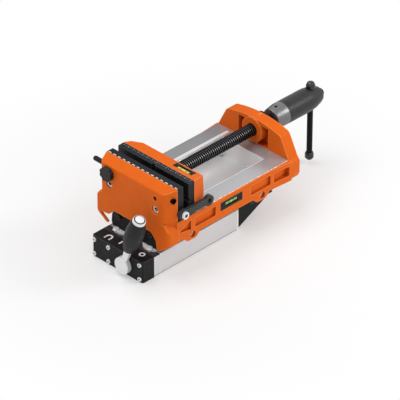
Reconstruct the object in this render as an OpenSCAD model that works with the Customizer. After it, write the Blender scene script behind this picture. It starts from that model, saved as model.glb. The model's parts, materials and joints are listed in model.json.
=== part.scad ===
// Magnetic bench vise: a screw vise on a switchable magnet base.
// X runs across the jaws, Y along the spindle with the handle at +Y, Z up.
// The origin is the middle of the magnet's underside.

/* [Magnet base] */
// Width of the magnet housing
base_w = 109; // [104:1:114]
// Height of the magnet housing
base_h = 37; // [35:0.5:40]
// Length of the magnet housing
base_len = 176; // [168:1:184]
// How far the middle of the magnet base lies left of the spindle
base_off = 2; // [0:0.5:4]
// Length of the front cover
cover_len = 24; // [21:0.5:30]
// Chamfer on the upright edges of the front cover
cover_edge = 2.5; // [1:0.5:4]
// Thickness of the plate at the tail of the housing
tail_t = 3.5; // [3:0.5:6]
// Height of the pole shoes
pole_h = 8; // [7.5:0.5:10]
// Width of the brass strip between the pole shoes
spacer_w = 10; // [6:0.5:14]
// Diameter of the magnet rotor
rotor_d = 29; // [24:0.5:30]
// Diameter of the cover screws
cover_screw_d = 4; // [3:0.5:5]
// Distance of the cover screws from the edges of the cover
cover_screw_edge = 6; // [5:0.5:6.5]

/* [Switch lever] */
// How far the lever's axis lies right of the base's middle
lever_off = 17.5; // [10:0.5:20]
// Diameter of the lever's hub
hub_d = 28; // [24:0.5:30]
// Thickness of the lever's hub
hub_t = 8.5; // [8:0.5:12]
// Diameter of the lever's shaft
shaft_d = 14; // [10:0.5:16]
// Lean of the lever from upright, towards the right
lever_lean = 20.5; // [-30:0.5:30]
// Reach from the lever's axis to the end of its cap
lever_reach = 107; // [100:1:120]
// Width of the lever's arm
arm_w = 10; // [8:0.5:12]
// Thickness of the lever's arm
arm_t = 6.5; // [5:0.5:7]
// Distance from the lever's axis to the foot of its grip
lever_grip_start = 36; // [34:0.5:40]
// Largest diameter of the lever's grip
lever_grip_d = 29.5; // [26:0.5:32]
// Length of the lever's end cap
lever_cap_len = 6; // [4:0.5:8]

/* [Vise body] */
// Height of the ways above the magnet's underside
way_z = 97; // [95:0.5:102]
// How far the side rails stand out past the ends of the jaws
rail_out = 1.5; // [1:0.1:3]
// How far the foot of the fixed jaw stands out past the rails
foot_out = 2; // [1:0.5:4]
// Depth of the side rails below the ways
rail_h = 35; // [33:0.5:37]
// Height of the bed
bed_h = 43; // [41:0.5:45]
// Width of the bed's box between the rails
bed_w = 114; // [108:1:118]
// Length of the bed from the fixed jaw to the end plate
bed_len = 237; // [230:1:250]
// Thickness of the bed's floor
floor_t = 12; // [11:0.5:14]
// Thickness of the ways' outer wings
wing_t = 5; // [4:0.5:6]
// Width of the lips that the rails raise beside the ways
lip_t = 2.3; // [1.5:0.1:3]
// Width of the slot between the ways
slot_w = 90; // [84:1:94]
// Distance from the end plate to the rear end of the slot
slot_end = 23; // [18:1:30]
// Depth of the guide grooves under the ways
groove_in = 4; // [3:0.5:5]
// Height of the guide grooves
groove_h = 11; // [9:0.5:12]
// Thickness of the ways above the guide grooves
way_t = 12; // [11:0.5:14]
// Thickness of the arched end plate
end_t = 20; // [18:0.5:26]
// Rise of the end plate above the ways
end_rise = 43.5; // [42:0.5:48]
// Flare of the rails at the end plate
end_flare = 3.5; // [0.5:0.5:5]
// Depth of the pockets in the rails
pocket_in = 4; // [2:0.5:6]
// Depth of the bolt lobes below the ways
lobe_drop = 43.5; // [42.5:0.5:44]
// Diameter of the frame bolts
frame_bolt_d = 7; // [6:0.5:7.5]

/* [Jaws] */
// Distance from the front of the magnet housing back to the seat of the fixed jaw plate
seat_back = 27.5; // [26:0.5:31]
// Width of the jaws
jaw_w = 150; // [140:1:152]
// Height of the jaws above the ways
jaw_h = 57; // [55:0.5:62]
// Depth of the fixed jaw
jaw_depth = 22; // [20:0.5:26]
// How much each side of a jaw narrows away from its plate
jaw_taper = 9; // [4:0.5:12]
// Fall of the top of a jaw away from its plate
jaw_fall = 4; // [2:0.5:6]
// Thickness of the jaw plates
plate_t = 12; // [10:0.5:14]
// Opening between the jaw plates
opening = 11; // [2:0.5:40]
// Width of the grip grooves in the moving jaw plate
vee_w = 8; // [4:0.5:10]
// Diameter of the jaw plate bolts
plate_bolt_d = 8; // [6:0.5:8]
// Distance of the jaw plate bolts from the middle
plate_bolt_x = 49; // [44:0.5:54]
// Height of the jaw plate bolts above the ways
plate_bolt_rise = 20; // [16:0.5:22]
// Depth of the moving jaw at its foot
moving_depth = 31; // [29:0.5:34]
// Length of the moving jaw's guide
guide_len = 43; // [40:0.5:48]
// Height of the arch over the adapter, above the tips of the legs
arch_h = 27; // [25:0.5:28]
// Drop of the legs below the ways
leg_drop = 50.5; // [49:0.5:52]

/* [Spindle and handle] */
// Diameter of the spindle
spindle_d = 20; // [16:0.5:22]
// Height of the spindle's axis above the ways
spindle_rise = 23.5; // [22:0.5:26]
// Diameter of the spindle's nose in the jaw
nose_d = 14; // [10:0.5:15]
// Diameter of the spindle's collar
collar_d = 28; // [25:0.5:29]
// Diameter of the ring that holds the spindle's collar in the moving jaw
retainer_d = 40; // [39:0.5:43]
// Depth of the moving jaw in front of the spindle's collar
thrust_depth = 20; // [18:0.5:22]
// Gap between the end plate and the handle
handle_gap = 18.5; // [17:0.5:30]
// Length of the handle's front sleeve
sleeve_len = 25; // [18:0.5:30]
// Length of the handle behind the sleeve
grip_len = 83; // [78:1:96]
// Largest diameter of the handle
grip_d = 38.5; // [36:0.5:42]
// Distance of the cross bar from the rear end of the handle
bar_back = 19.3; // [18:0.1:23]
// Diameter of the cross bar
bar_d = 9.4; // [8:0.2:10]
// Drop of the cross bar's ball below the spindle's axis
bar_drop = 113.5; // [90:0.5:116]
// Diameter of the knob and the ball on the cross bar
bar_end_d = 15; // [13:0.5:16]
// Height of the cross bar's knob
bar_knob_h = 11.5; // [8:0.5:14]

/* [Work stops] */
// Diameter of the stop rod
rod_d = 8; // [6:0.5:9]
// How far the stop rod stands out past the jaw's width
rod_out = 21; // [5:0.5:40]
// Length of the stop rod
rod_len = 68.5; // [55:0.5:75]
// Height of the stop rod above the ways
rod_rise = 40; // [37:0.5:42]
// Distance of the stop rod from the seat of the jaw plate
rod_back = 7.5; // [7:0.5:9]
// Diameter of the clamp knob
stop_knob_d = 24; // [20:0.5:28]
// Thickness of the clamp knob
stop_knob_t = 7; // [5:0.5:12]
// Distance of the clamp screws from the middle
clamp_x = 49; // [40:0.5:52]
// Length of the swing arm between its bolt and its eye
swing_len = 53; // [40:0.5:60]
// Thickness of the swing arm
swing_t = 6.7; // [5:0.1:9]
// Height of the swing arm's bolt above the ways
swing_rise = 14; // [12:0.5:18]

/* [Spirit levels] */
// Diameter of the vials
vial_d = 8; // [6:0.5:8]
// Length of the vials
vial_len = 26; // [20:0.5:28]
// Length of the level on the jaw
jaw_level_len = 41; // [36:0.5:44]
// Length of the level in the rail
rail_level_len = 46; // [40:0.5:50]

/* [Fits] */
// Radial clearance of turning and pressed round fits
round_fit = 0.05; // [0.02:0.01:0.1]
// Clearance between faces that slide
slide_fit = 0.3; // [0.2:0.05:0.5]

/* [Hidden] */
$fn = 64;
fillet_steps = 5;

orange = "#d2601e";
black = "#1c1d20";
steel = "#b9bdc1";

// Magnet base
housing_y = base_len / 2;
cover_y = -housing_y - cover_len;
tail_y = housing_y + tail_t;
base_x = -base_off;
base_left = base_x - base_w / 2;
base_right = base_x + base_w / 2;
lever_x = base_x + lever_off;
lever_z = base_h / 2;
cover_screw_gap = 35.5;
cover_screw_xs = [base_left + cover_screw_edge, lever_x - cover_screw_gap, base_right - cover_screw_edge];
cover_screw_zs = [cover_screw_edge, base_h - cover_screw_edge];
screw_head_d = cover_screw_d * 1.75;
cover_head_t = 2.5;
cover_bite = 12;
tongue_t = 1.2;
skirt_t = 1.5;
skirt_z = 2.5;
tail_screw_xs = [base_left + cover_screw_edge, base_right - cover_screw_edge];
tail_head_t = 2.2;
tail_bite = 10;
bush_wall = 3;
bush_d = shaft_d + 2 * bush_wall;
rotor_gap = 0.3;
hub_gap = 0.8;
hub_y = cover_y - hub_gap;
hub_mid_y = hub_y - hub_t / 2;
arm_root = 5;
arm_bite = 30;
lever_cap_start = lever_reach - lever_cap_len;
lever_swell_r = 104;
lever_swell_at = 0.56;

// Where the jaws and the bed begin
seat_y = housing_y - seat_back;
jaw_x = jaw_w / 2;
body_x = jaw_x + rail_out;

// Bed and rails
bed_z = way_z - bed_h;
floor_z = bed_z + floor_t;
bed_x = bed_w / 2;
slot_x = slot_w / 2;
groove_x = slot_x + groove_in;
groove_top = way_z - way_t;
rail_z = way_z - rail_h;
wing_z = way_z - wing_t;
wing_x = body_x - lip_t;
lip_drop = 0.4;
left_lip_drop = 2.5;
front_y = -seat_y - jaw_depth;
end_y = -seat_y + bed_len;
back_y = end_y + end_t;
slot_end_y = end_y - slot_end;
rail_root = 3;
drain_d = 7;
drain_edge = 1;
lobe_z = way_z - lobe_drop;
frame_bolt_up = 8;
frame_bolt_z = lobe_z + frame_bolt_up;
lobe_front = 31;
lobe_rear = 57.5;
lobe_ys = [-seat_y + lobe_front, end_y - lobe_rear];
lobe_root = [24, 20];
lobe_tip = [12, 6];
lobe_overlap = 4;
frame_bolt_head_d = frame_bolt_d * 1.55;
frame_bolt_head_t = frame_bolt_d * 0.75;
frame_bolt_sink = 5;
frame_bolt_bite = 10;
pocket_sill = 10;
pocket_head = 8;
pocket_low = rail_z + pocket_sill;
pocket_high = way_z - pocket_head;
front_pocket = [35, 79];
rear_pocket = [83, 40];
last_pocket = [34, 2];
wedge_pocket = [1, 27];
wedge_rise = 5;
flare_len = 40;
level_back = 112;
level_pocket_y = -seat_y + level_back;

// Jaws
jaw_z = way_z + jaw_h;
jaw_foot = way_z + slide_fit;
grip_y = -seat_y + plate_t;
moving_plate_y = grip_y + opening;
moving_y = moving_plate_y + plate_t;
moving_back = moving_y + moving_depth;
plate_bolt_z = way_z + plate_bolt_rise;
plate_bolt_head_d = plate_bolt_d * 1.6;
plate_bolt_head_t = plate_bolt_d;
plate_bolt_sink = 10.5;
plate_bite = 8;
jaw_corner = 8;
moving_draft = 6.5;
moving_cut = [19, 14];
foot_corner = 6;
keeper_t = groove_h - 2 * slide_fit;
keeper_z = groove_top - slide_fit - keeper_t;
keeper_screw_d = 6;
keeper_screw_x = slot_x * 0.62;
leg_z = way_z - leg_drop;
foot_x = body_x + foot_out;
foot_tip_x = 56;
flange_top = way_z - 13;
flange_low = way_z - 34;
leg_bevel = 6.5;
leg_bevel_rise = 10.5;
rib_t = 3;
rib_depth = 4;
relief_rise = 13;

// Adapter between magnet and vise
adapter_z = base_h;
adapter_low_x = 46;
adapter_reach = 15.5;
adapter_front = -seat_y - adapter_reach;
arch_gap = 0.5;
arch_low_x = 53;
arch_knee_x = 50.5;
arch_knee_drop = 11.5;
arch_top_x = 40;
adapter_screw_x = 34;
adapter_screw_drop = 4;
adapter_screw_z = floor_z - adapter_screw_drop;
adapter_screw_d = 5;
adapter_screw_bite = 12;
adapter_head_t = 3;
clamp_mid_x = 31;
clamp_half = 15;
clamp_reach = 8;
clamp_r = (clamp_half ^ 2 + clamp_reach ^ 2) / (2 * clamp_reach);
clamp_t = 4;
clamp_screw_d = 6;
clamp_screw_t = 2.5;
clamp_screw_x = 36;
clamp_screw_y = adapter_front - 5.5;
bracket_x = 50;
bracket_len = 60;
bracket_toe = 5;
bracket_low = 2;
bracket_tip_z = 28;
bracket_shoulder = base_h + 3;
bracket_neck_x = 40;
stud_d = 8;
stud_x = 45;
stud_z = 33;
stud_out = 20;
stud_bite = 30;

// Spindle and handle
spindle_z = way_z + spindle_rise;
thrust_y = moving_y + thrust_depth;
collar_t = 4;
retainer_t = 8;
collar_gap = 0.15;
retainer_end = thrust_y + retainer_t;
nose_len = 16;
retainer_screw_d = 3;
retainer_bite = 8;
retainer_head_t = 2.5;
retainer_screw_r = (retainer_d + collar_d) / 4;
nut_wall = 4.5;
nut_rim = 5.5;
nut_d = spindle_d + 2 * nut_wall;
nut_flange_d = nut_d + 2 * nut_rim;
nut_flange_t = 4;
nut_screw_d = 3;
nut_bite = 8;
nut_head_t = 2.4;
nut_head_d = nut_screw_d * 1.6;
nut_screw_r = (nut_d + nut_flange_d) / 4;
end_boss_wall = 6.5;
end_lip_gap = 0.6;
end_boss_d = nut_d + 2 * end_boss_wall;
end_boss_out = 3;
end_x = body_x + end_flare;
end_arch_r = 200;
end_shoulder_in = 18;
end_web_x = 8;
end_pocket_x = 31.5;
end_pocket_h = 36;
end_pocket_in = 12;
handle_y = back_y + handle_gap;
sleeve_end = handle_y + sleeve_len;
grip_end = sleeve_end + grip_len;
bar_y = grip_end - bar_back;
tang_d = 16;
tang_end = grip_end - 6;
sleeve_r = grip_d / 2 - 0.2;
sleeve_nose_r = grip_d / 2 - 2.5;
grip_end_fall = 4.75;
grip_tail = 7;
grip_nose_r = 8.5;
grip_swell = 10;
grip_straight = 48;
grip_steps = 4;
grip_taper = grip_len - grip_tail - grip_straight;
bar_fit = 2 * round_fit;
bar_sink = 0.6;
bar_seat = spindle_z + grip_r(grip_len - bar_back) - bar_sink;
bar_low = spindle_z - bar_drop;
ball_h = bar_end_d - 1;
bar_screw_d = 5;
cap_len = 6;
cap_d = 13;

// Work stops
stop_y = -seat_y - rod_back;
rod_z = way_z + rod_rise;
rod_left = -jaw_x - rod_out;
rod_web = 14;
clamp_hole_d = 8;
knob_gap = 1;
swing_y = -seat_y + plate_t / 2;
swing_z = way_z + swing_rise;
swing_gap = 1.3;
swing_in = jaw_x + swing_gap;
swing_bolt_d = 8;
swing_thread_d = 6;
swing_thread_len = 14;
swing_boss_r = 8.5;
swing_eye_r = 9;
swing_eye_d = 8;
swing_bar_h = 11;

// Spirit levels
level_floor = 1.5;
vial_cover = 1;
level_depth = vial_d + level_floor + vial_cover;
jaw_level_rim = 1.75;
jaw_level_w = vial_d + 2 * jaw_level_rim;
jaw_level_x = 39;
jaw_level_back = 14;
jaw_level_y = moving_y + jaw_level_back;
jaw_level_top = jaw_z - jaw_fall * 0.62;
jaw_level_z = jaw_level_top - level_depth;
rail_level_rim = 3;
rail_level_h = vial_d + 2 * rail_level_rim;
rail_level_drop = 14.5;
rail_level_z = way_z - rail_level_drop;
rail_level_out = 1;
rail_level_in = body_x + rail_level_out - level_depth;

function unit(v) = v / norm(v);
function corner_angle(p, c, n) = acos(unit(p - c) * unit(n - c));
function fillet_mid(p, c, n, r) =
    c + unit(unit(p - c) + unit(n - c)) * r / sin(corner_angle(p, c, n) / 2);
// Points of the arc of radius r that rounds the corner c between its neighbours p and n
function fillet(p, c, n, r) =
    let (sweep = 180 - corner_angle(p, c, n), mid = fillet_mid(p, c, n, r),
        reach = r * tan(sweep / 2),
        from = unit(c + unit(p - c) * reach - mid), to = unit(c + unit(n - c) * reach - mid))
    [for (i = [0:fillet_steps])
        let (turn = sweep * i / fillet_steps)
        mid + r * (sin(sweep - turn) * from + sin(turn) * to) / sin(sweep)];
function mirrored(pts) = [for (i = [len(pts) - 1:-1:0]) [-pts[i].x, pts[i].y]];
function both_halves(pts) = concat(pts, mirrored(pts));
function both_radii(radii) = concat(radii, [for (i = [len(radii) - 1:-1:0]) radii[i]]);

// An outline with its own radius at each corner
module rounded(pts, radii) {
    n = len(pts);
    polygon([for (i = [0:n - 1])
        each radii[i] > 0
            ? fillet(pts[(i + n - 1) % n], pts[i], pts[(i + 1) % n], radii[i])
            : [pts[i]]]);
}

// Extrudes an X-Z outline from y0 to y1
module along_y(y0, y1) {
    translate([0, y1, 0])
        rotate([90, 0, 0])
            linear_extrude(y1 - y0)
                children();
}

// Extrudes a Y-Z outline from x0 to x1
module along_x(x0, x1) {
    translate([x0, 0, 0])
        rotate([90, 0, 90])
            linear_extrude(x1 - x0)
                children();
}

// A round bar along Y
module rod_y(x, z, y0, y1, d) {
    translate([x, y1, z])
        rotate([90, 0, 0])
            cylinder(d = d, h = y1 - y0);
}

// A round bar along X
module rod_x(y, z, x0, x1, d) {
    translate([x0, y, z])
        rotate([0, 90, 0])
            cylinder(d = d, h = x1 - x0);
}

module block(x0, x1, y0, y1, z0, z1) {
    translate([x0, y0, z0])
        cube([x1 - x0, y1 - y0, z1 - z0]);
}

module both_sides() {
    children();
    mirror([1, 0, 0])
        children();
}

// Places a turned part, drawn along Z, on the lever's axis with Z along the arm
module on_lever() {
    translate([lever_x, hub_mid_y, lever_z])
        rotate([0, lever_lean, 0])
            children();
}

// Places a turned part, drawn along Z, on the spindle's axis with Z along +Y
module on_spindle(y) {
    translate([0, y, spindle_z])
        rotate([-90, 0, 0])
            children();
}

// Magnet base

module rotor_bore(y0, y1) {
    rod_y(lever_x, lever_z, y0, y1, rotor_d + 2 * rotor_gap);
}

module cover_screw_holes(fit) {
    for (x = cover_screw_xs, z = cover_screw_zs)
        rod_y(x, z, cover_y - cover_head_t, -housing_y + cover_bite + fit, cover_screw_d + 2 * fit);
}

module tail_screw_holes(fit) {
    for (x = tail_screw_xs, z = cover_screw_zs)
        rod_y(x, z, housing_y - tail_bite - fit, tail_y + 1, cover_screw_d + 2 * fit);
}

module clamp_screw_holes(z0, z1, fit) {
    for (side = [-1, 1])
        translate([side * clamp_screw_x, clamp_screw_y, z0])
            cylinder(d = clamp_screw_d + 2 * fit, h = z1 - z0);
}

module magnet_housing() {
    color(steel)
        difference() {
            block(base_left, base_right, -housing_y, housing_y, skirt_z, base_h);
            block(base_left + skirt_t, base_right - skirt_t, -housing_y - 1, housing_y + 1, 0, pole_h);
            block(base_left - 1, base_right + 1, -housing_y - 1, adapter_front, base_h - tongue_t,
                base_h + 1);
            rotor_bore(-housing_y - 1, housing_y + 1);
            cover_screw_holes(round_fit);
            tail_screw_holes(round_fit);
            clamp_screw_holes(base_h - clamp_screw_d, base_h + 1, round_fit);
        }
}

module pole_shoes() {
    color("#8f9398")
        difference() {
            union() {
                block(base_left + skirt_t, lever_x - spacer_w / 2, -housing_y, housing_y, 0, pole_h);
                block(lever_x + spacer_w / 2, base_right - skirt_t, -housing_y, housing_y, 0, pole_h);
            }
            rotor_bore(-housing_y - 1, housing_y + 1);
            cover_screw_holes(round_fit);
            tail_screw_holes(round_fit);
        }
}

module pole_spacer() {
    color("#b08d3e")
        difference() {
            block(lever_x - spacer_w / 2, lever_x + spacer_w / 2, -housing_y, housing_y, 0, pole_h);
            rotor_bore(-housing_y - 1, housing_y + 1);
        }
}

// The end block, with a thin tongue that runs back over the housing to the adapter
module front_cover() {
    color(black)
        difference() {
            union() {
                translate([base_x, 0, 0])
                    linear_extrude(base_h)
                        polygon(both_halves([[base_w / 2, -housing_y], [base_w / 2, cover_y + cover_edge],
                            [base_w / 2 - cover_edge, cover_y]]));
                block(base_left, base_right, -housing_y - 1, adapter_front, base_h - tongue_t, base_h);
            }
            rod_y(lever_x, lever_z, cover_y - 1, -housing_y + 1, bush_d + 2 * round_fit);
            cover_screw_holes(round_fit);
            clamp_screw_holes(base_h - clamp_screw_d, base_h + 1, round_fit);
        }
}

module cover_screws() {
    color(steel)
        for (x = cover_screw_xs, z = cover_screw_zs) {
            rod_y(x, z, cover_y - cover_head_t, cover_y, screw_head_d);
            rod_y(x, z, cover_y - 1, -housing_y + cover_bite, cover_screw_d);
        }
}

module tail_plate() {
    color("#d4d7da")
        difference() {
            block(base_left, base_right, housing_y, tail_y, 0, base_h);
            rod_y(lever_x, lever_z, housing_y - 1, tail_y + 1, bush_d + 2 * round_fit);
            tail_screw_holes(round_fit);
            for (x = tail_screw_xs, z = cover_screw_zs)
                rod_y(x, z, tail_y - tail_head_t, tail_y + 1, screw_head_d + 2 * round_fit);
        }
}

module tail_screws() {
    color(steel)
        for (x = tail_screw_xs, z = cover_screw_zs) {
            rod_y(x, z, tail_y - tail_head_t, tail_y - 0.2, screw_head_d);
            rod_y(x, z, housing_y - tail_bite, tail_y - tail_head_t + 0.5, cover_screw_d);
        }
}

module magnet_rotor() {
    color("#5d5f63")
        difference() {
            rod_y(lever_x, lever_z, -housing_y + rotor_gap, housing_y - rotor_gap, rotor_d);
            rod_y(lever_x, lever_z, -housing_y - 1, housing_y + 1, shaft_d + 2 * round_fit);
        }
}

module bush(y0, y1) {
    difference() {
        rod_y(lever_x, lever_z, y0, y1, bush_d);
        rod_y(lever_x, lever_z, y0 - 1, y1 + 1, shaft_d + 2 * round_fit);
    }
}

module rotor_bushes() {
    color("#b08d3e") {
        bush(cover_y, -housing_y);
        bush(housing_y, tail_y);
    }
}

module lever_hub() {
    color(steel)
        difference() {
            union() {
                rod_y(lever_x, lever_z, hub_y - hub_t, hub_y, hub_d);
                rod_y(lever_x, lever_z, hub_y - 1, tail_y - 0.5, shaft_d);
            }
            on_lever()
                lever_bar(arm_root - round_fit, hub_d, round_fit);
        }
}

// The flat bar of the lever, from r0 to r1 out from the axis
module lever_bar(r0, r1, fit) {
    block(-arm_w / 2 - fit, arm_w / 2 + fit, -arm_t / 2 - fit, arm_t / 2 + fit, r0, r1);
}

module lever_arm() {
    color(steel)
        on_lever()
            lever_bar(arm_root, lever_grip_start + arm_bite, 0);
}

module lever_grip() {
    full = lever_grip_d / 2;
    span = lever_cap_start - lever_grip_start;
    color(black)
        on_lever()
            difference() {
                translate([0, 0, lever_grip_start])
                    rotate_extrude()
                        intersection() {
                            square([full + 1, span]);
                            translate([full - lever_swell_r, span * lever_swell_at])
                                circle(r = lever_swell_r, $fn = 128);
                        }
                lever_bar(0, lever_grip_start + arm_bite + round_fit, round_fit);
            }
}

module lever_cap() {
    rim = lever_grip_d / 2 - 3.6;
    color("#c9ccd0")
        on_lever()
            translate([0, 0, lever_cap_start])
                rotate_extrude()
                    polygon([[0, 0], [rim, 0], [rim, lever_cap_len * 0.45], [rim - 2, lever_cap_len * 0.85],
                        [rim - 4.5, lever_cap_len * 0.7], [rim - 5, lever_cap_len], [0, lever_cap_len]]);
}

// Adapter between magnet and vise

// Front outline of the opening between the legs of the frame, less a gap, down to z0
module arch_outline(gap, z0) {
    top = leg_z + arch_h;
    rounded(both_halves([[arch_low_x - gap, z0], [arch_knee_x - gap, top - arch_knee_drop],
        [arch_top_x - gap, top - gap]]), both_radii([0, 6, 7]));
}

module adapter_screw_holes(fit) {
    for (side = [-1, 1])
        rod_y(side * adapter_screw_x, adapter_screw_z, adapter_front - 1, -seat_y + adapter_screw_bite + fit,
            adapter_screw_d + 2 * fit);
}

// Cross-section of the saddle, wider at the top, up to the height z1
module saddle_outline(z1) {
    lean = (bed_x - 1 - adapter_low_x) / (bed_z - adapter_z);
    polygon(both_halves([[adapter_low_x, adapter_z], [adapter_low_x + lean * (z1 - adapter_z), z1]]));
}

module adapter() {
    color(black)
        difference() {
            union() {
                along_y(-seat_y, tail_y)
                    saddle_outline(bed_z);
                along_y(adapter_front, -seat_y)
                    intersection() {
                        arch_outline(arch_gap, adapter_z);
                        saddle_outline(leg_z + arch_h);
                    }
            }
            adapter_screw_holes(round_fit);
        }
}

module adapter_screws() {
    color(steel)
        for (side = [-1, 1]) {
            rod_y(side * adapter_screw_x, adapter_screw_z, adapter_front, -seat_y + adapter_screw_bite,
                adapter_screw_d);
            rod_y(side * adapter_screw_x, adapter_screw_z, adapter_front - adapter_head_t, adapter_front,
                adapter_screw_d * 1.7);
        }
}

module base_clamps() {
    color("#c9ccd0")
        difference() {
            for (side = [-1, 1])
                translate([side * clamp_mid_x, adapter_front - clamp_reach + clamp_r, base_h])
                    cylinder(r = clamp_r, h = clamp_t);
            block(base_left, base_right, adapter_front, adapter_front + 2 * clamp_r, base_h - 1,
                base_h + clamp_t + 1);
            clamp_screw_holes(base_h - 1, base_h + clamp_t + 1, round_fit);
        }
}

module clamp_screws() {
    color("#d4d7da")
        for (side = [-1, 1])
            translate([side * clamp_screw_x, clamp_screw_y, 0]) {
                translate([0, 0, base_h - clamp_screw_d + 1])
                    cylinder(d = clamp_screw_d, h = clamp_screw_d + clamp_t);
                translate([0, 0, base_h + clamp_t])
                    cylinder(d1 = clamp_screw_d * 1.8, d2 = clamp_screw_d * 1.5, h = clamp_screw_t);
            }
}

module tail_bracket() {
    color(black)
        difference() {
            union() {
                intersection() {
                    along_y(tail_y, tail_y + bracket_len)
                        rounded(both_halves([[bracket_x, 0], [bracket_x, bracket_shoulder]]), [0, 8, 8, 0]);
                    along_x(-bracket_x, bracket_x)
                        polygon([[tail_y, bracket_low], [tail_y + bracket_toe, bracket_low],
                            [tail_y + bracket_len, bracket_tip_z], [tail_y + bracket_len, bracket_shoulder],
                            [tail_y, bracket_shoulder]]);
                }
                block(-bracket_neck_x, bracket_neck_x, tail_y, tail_y + bracket_len, bracket_shoulder - 1,
                    bed_z);
            }
            for (side = [-1, 1])
                rod_y(side * stud_x, stud_z, tail_y + bracket_len - stud_bite - round_fit,
                    tail_y + bracket_len + 1, stud_d + 2 * round_fit);
        }
}

module bracket_studs() {
    stud_end = tail_y + bracket_len + stud_out - stud_d / 2;
    color("#4a4e55")
        for (side = [-1, 1]) {
            rod_y(side * stud_x, stud_z, tail_y + bracket_len - stud_bite, stud_end, stud_d);
            translate([side * stud_x, stud_end, stud_z])
                sphere(d = stud_d);
        }
}

// Vise body

// Plan of a jaw: full width at its plate, narrower at depth, for y growing away from the plate
module jaw_plan(depth, taper) {
    rounded(both_halves([[jaw_x, 0], [jaw_x, 2], [jaw_x - taper, depth]]),
        [0, 0, jaw_corner, jaw_corner, 0, 0]);
}

module fixed_jaw_block() {
    intersection() {
        translate([0, -seat_y, wing_z - 8])
            mirror([0, 1, 0])
                linear_extrude(jaw_h + wing_t + 8)
                    jaw_plan(jaw_depth, jaw_taper);
        along_x(-jaw_x, jaw_x)
            rounded([[-seat_y, 0], [-seat_y, jaw_z], [front_y, jaw_z - jaw_fall], [front_y, 0]],
                [0, 0, 3, 0]);
    }
}

// The broad foot of the fixed jaw, with its legs astride the adapter
module jaw_foot_block() {
    intersection() {
        difference() {
            along_y(front_y, -seat_y)
                difference() {
                    rounded(both_halves([[foot_tip_x, leg_z], [foot_x - leg_bevel, leg_z + leg_bevel_rise],
                        [foot_x, flange_low], [foot_x, flange_top], [jaw_x - jaw_taper + 3, way_z]]),
                        both_radii([1, 3, 4, 6, 0]));
                    arch_outline(0, leg_z - 1);
                }
            left_leg_relief();
        }
        translate([0, -seat_y, 0])
            mirror([0, 1, 0])
                linear_extrude(way_z)
                    rounded(both_halves([[foot_x, -1], [foot_x, jaw_depth]]),
                        [0, foot_corner, foot_corner, 0]);
    }
}

// The left leg is cut away from below and keeps only a thin rib along its outer edge
module left_leg_relief() {
    tip = [foot_tip_x, leg_z];
    heel = [foot_x - leg_bevel, leg_z + leg_bevel_rise];
    along = unit(heel - tip);
    inward = rib_t * [-along.y, along.x];
    knee = [arch_knee_x - 1, leg_z + arch_h - arch_knee_drop + 1];
    relief_z = leg_z + relief_rise;
    heel_in = tip + inward + along * (relief_z - leg_z - inward.y) / along.y;
    mirror([1, 0, 0]) {
        along_y(front_y - 1, -seat_y + 1)
            polygon([heel_in, tip + inward, tip + inward - 5 * along, [arch_top_x, leg_z - 5],
                [arch_top_x, knee.y], knee]);
        along_y(front_y + rib_depth, -seat_y + 1)
            polygon([heel_in, [foot_x + 1, relief_z], [foot_x + 1, leg_z - 5],
                [arch_top_x, leg_z - 5], [arch_top_x, knee.y], knee]);
    }
}

module rail_plan() {
    polygon([[bed_x, -seat_y - rail_root], [body_x, -seat_y - rail_root], [body_x, end_y - flare_len],
        [body_x + end_flare, end_y], [body_x + end_flare, end_y + rail_root],
        [bed_x, end_y + rail_root]]);
}

module rail_pocket(y0, y1) {
    along_x(body_x - pocket_in, body_x + end_flare + 1)
        rounded([[y0, pocket_low], [y0, pocket_high], [y1, pocket_high], [y1, pocket_low]], [3, 2, 2, 3]);
}

// One rail, on the right, its lip the distance drop below the ways
module rail(drop) {
    difference() {
        union() {
            translate([0, 0, rail_z])
                linear_extrude(wing_z - rail_z)
                    rail_plan();
            translate([0, 0, wing_z - 1])
                linear_extrude(wing_t + 1 - drop)
                    difference() {
                        rail_plan();
                        translate([0, -seat_y - rail_root])
                            square([wing_x, bed_len + 2 * rail_root]);
                    }
            for (y = lobe_ys)
                along_x(bed_x, body_x)
                    rounded([[y - lobe_root[0], rail_z + lobe_overlap],
                        [y + lobe_root[1], rail_z + lobe_overlap],
                        [y + lobe_tip[1], lobe_z], [y - lobe_tip[0], lobe_z]], [0, 0, 7, 5]);
        }
        rail_pocket(-seat_y + front_pocket[0], -seat_y + front_pocket[1]);
        rail_pocket(end_y - rear_pocket[0], end_y - rear_pocket[1]);
        rail_pocket(end_y - last_pocket[0], end_y - last_pocket[1]);
        along_x(body_x - pocket_in, body_x + 1)
            polygon([[-seat_y + wedge_pocket[0], pocket_low + wedge_rise],
                [-seat_y + wedge_pocket[1], pocket_high], [-seat_y + wedge_pocket[1], pocket_low]]);
        for (y = lobe_ys) {
            rod_x(y, frame_bolt_z, bed_x - 1, body_x + 1, frame_bolt_d + 2 * round_fit);
            rod_x(y, frame_bolt_z, body_x - frame_bolt_sink - frame_bolt_head_t, body_x + end_flare + 1,
                frame_bolt_head_d + 1);
        }
    }
}

// Height of the end plate's arched top at x
function end_top(x) = way_z + end_rise - end_arch_r + sqrt(end_arch_r ^ 2 - x ^ 2);

module end_plate_outline() {
    shoulder_x = jaw_x - end_shoulder_in;
    arch = [for (x = [shoulder_x - 9:-10:5]) [x, end_top(x)]];
    sides = [[body_x, rail_z], [end_x, rail_z + 7], [end_x, way_z - 6], [body_x - 1.5, way_z],
        [shoulder_x, end_top(shoulder_x)]];
    rounded(both_halves(concat(sides, arch)),
        both_radii(concat([0, 3, 5, 0, 9], [for (p = arch) 0])));
}

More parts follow.
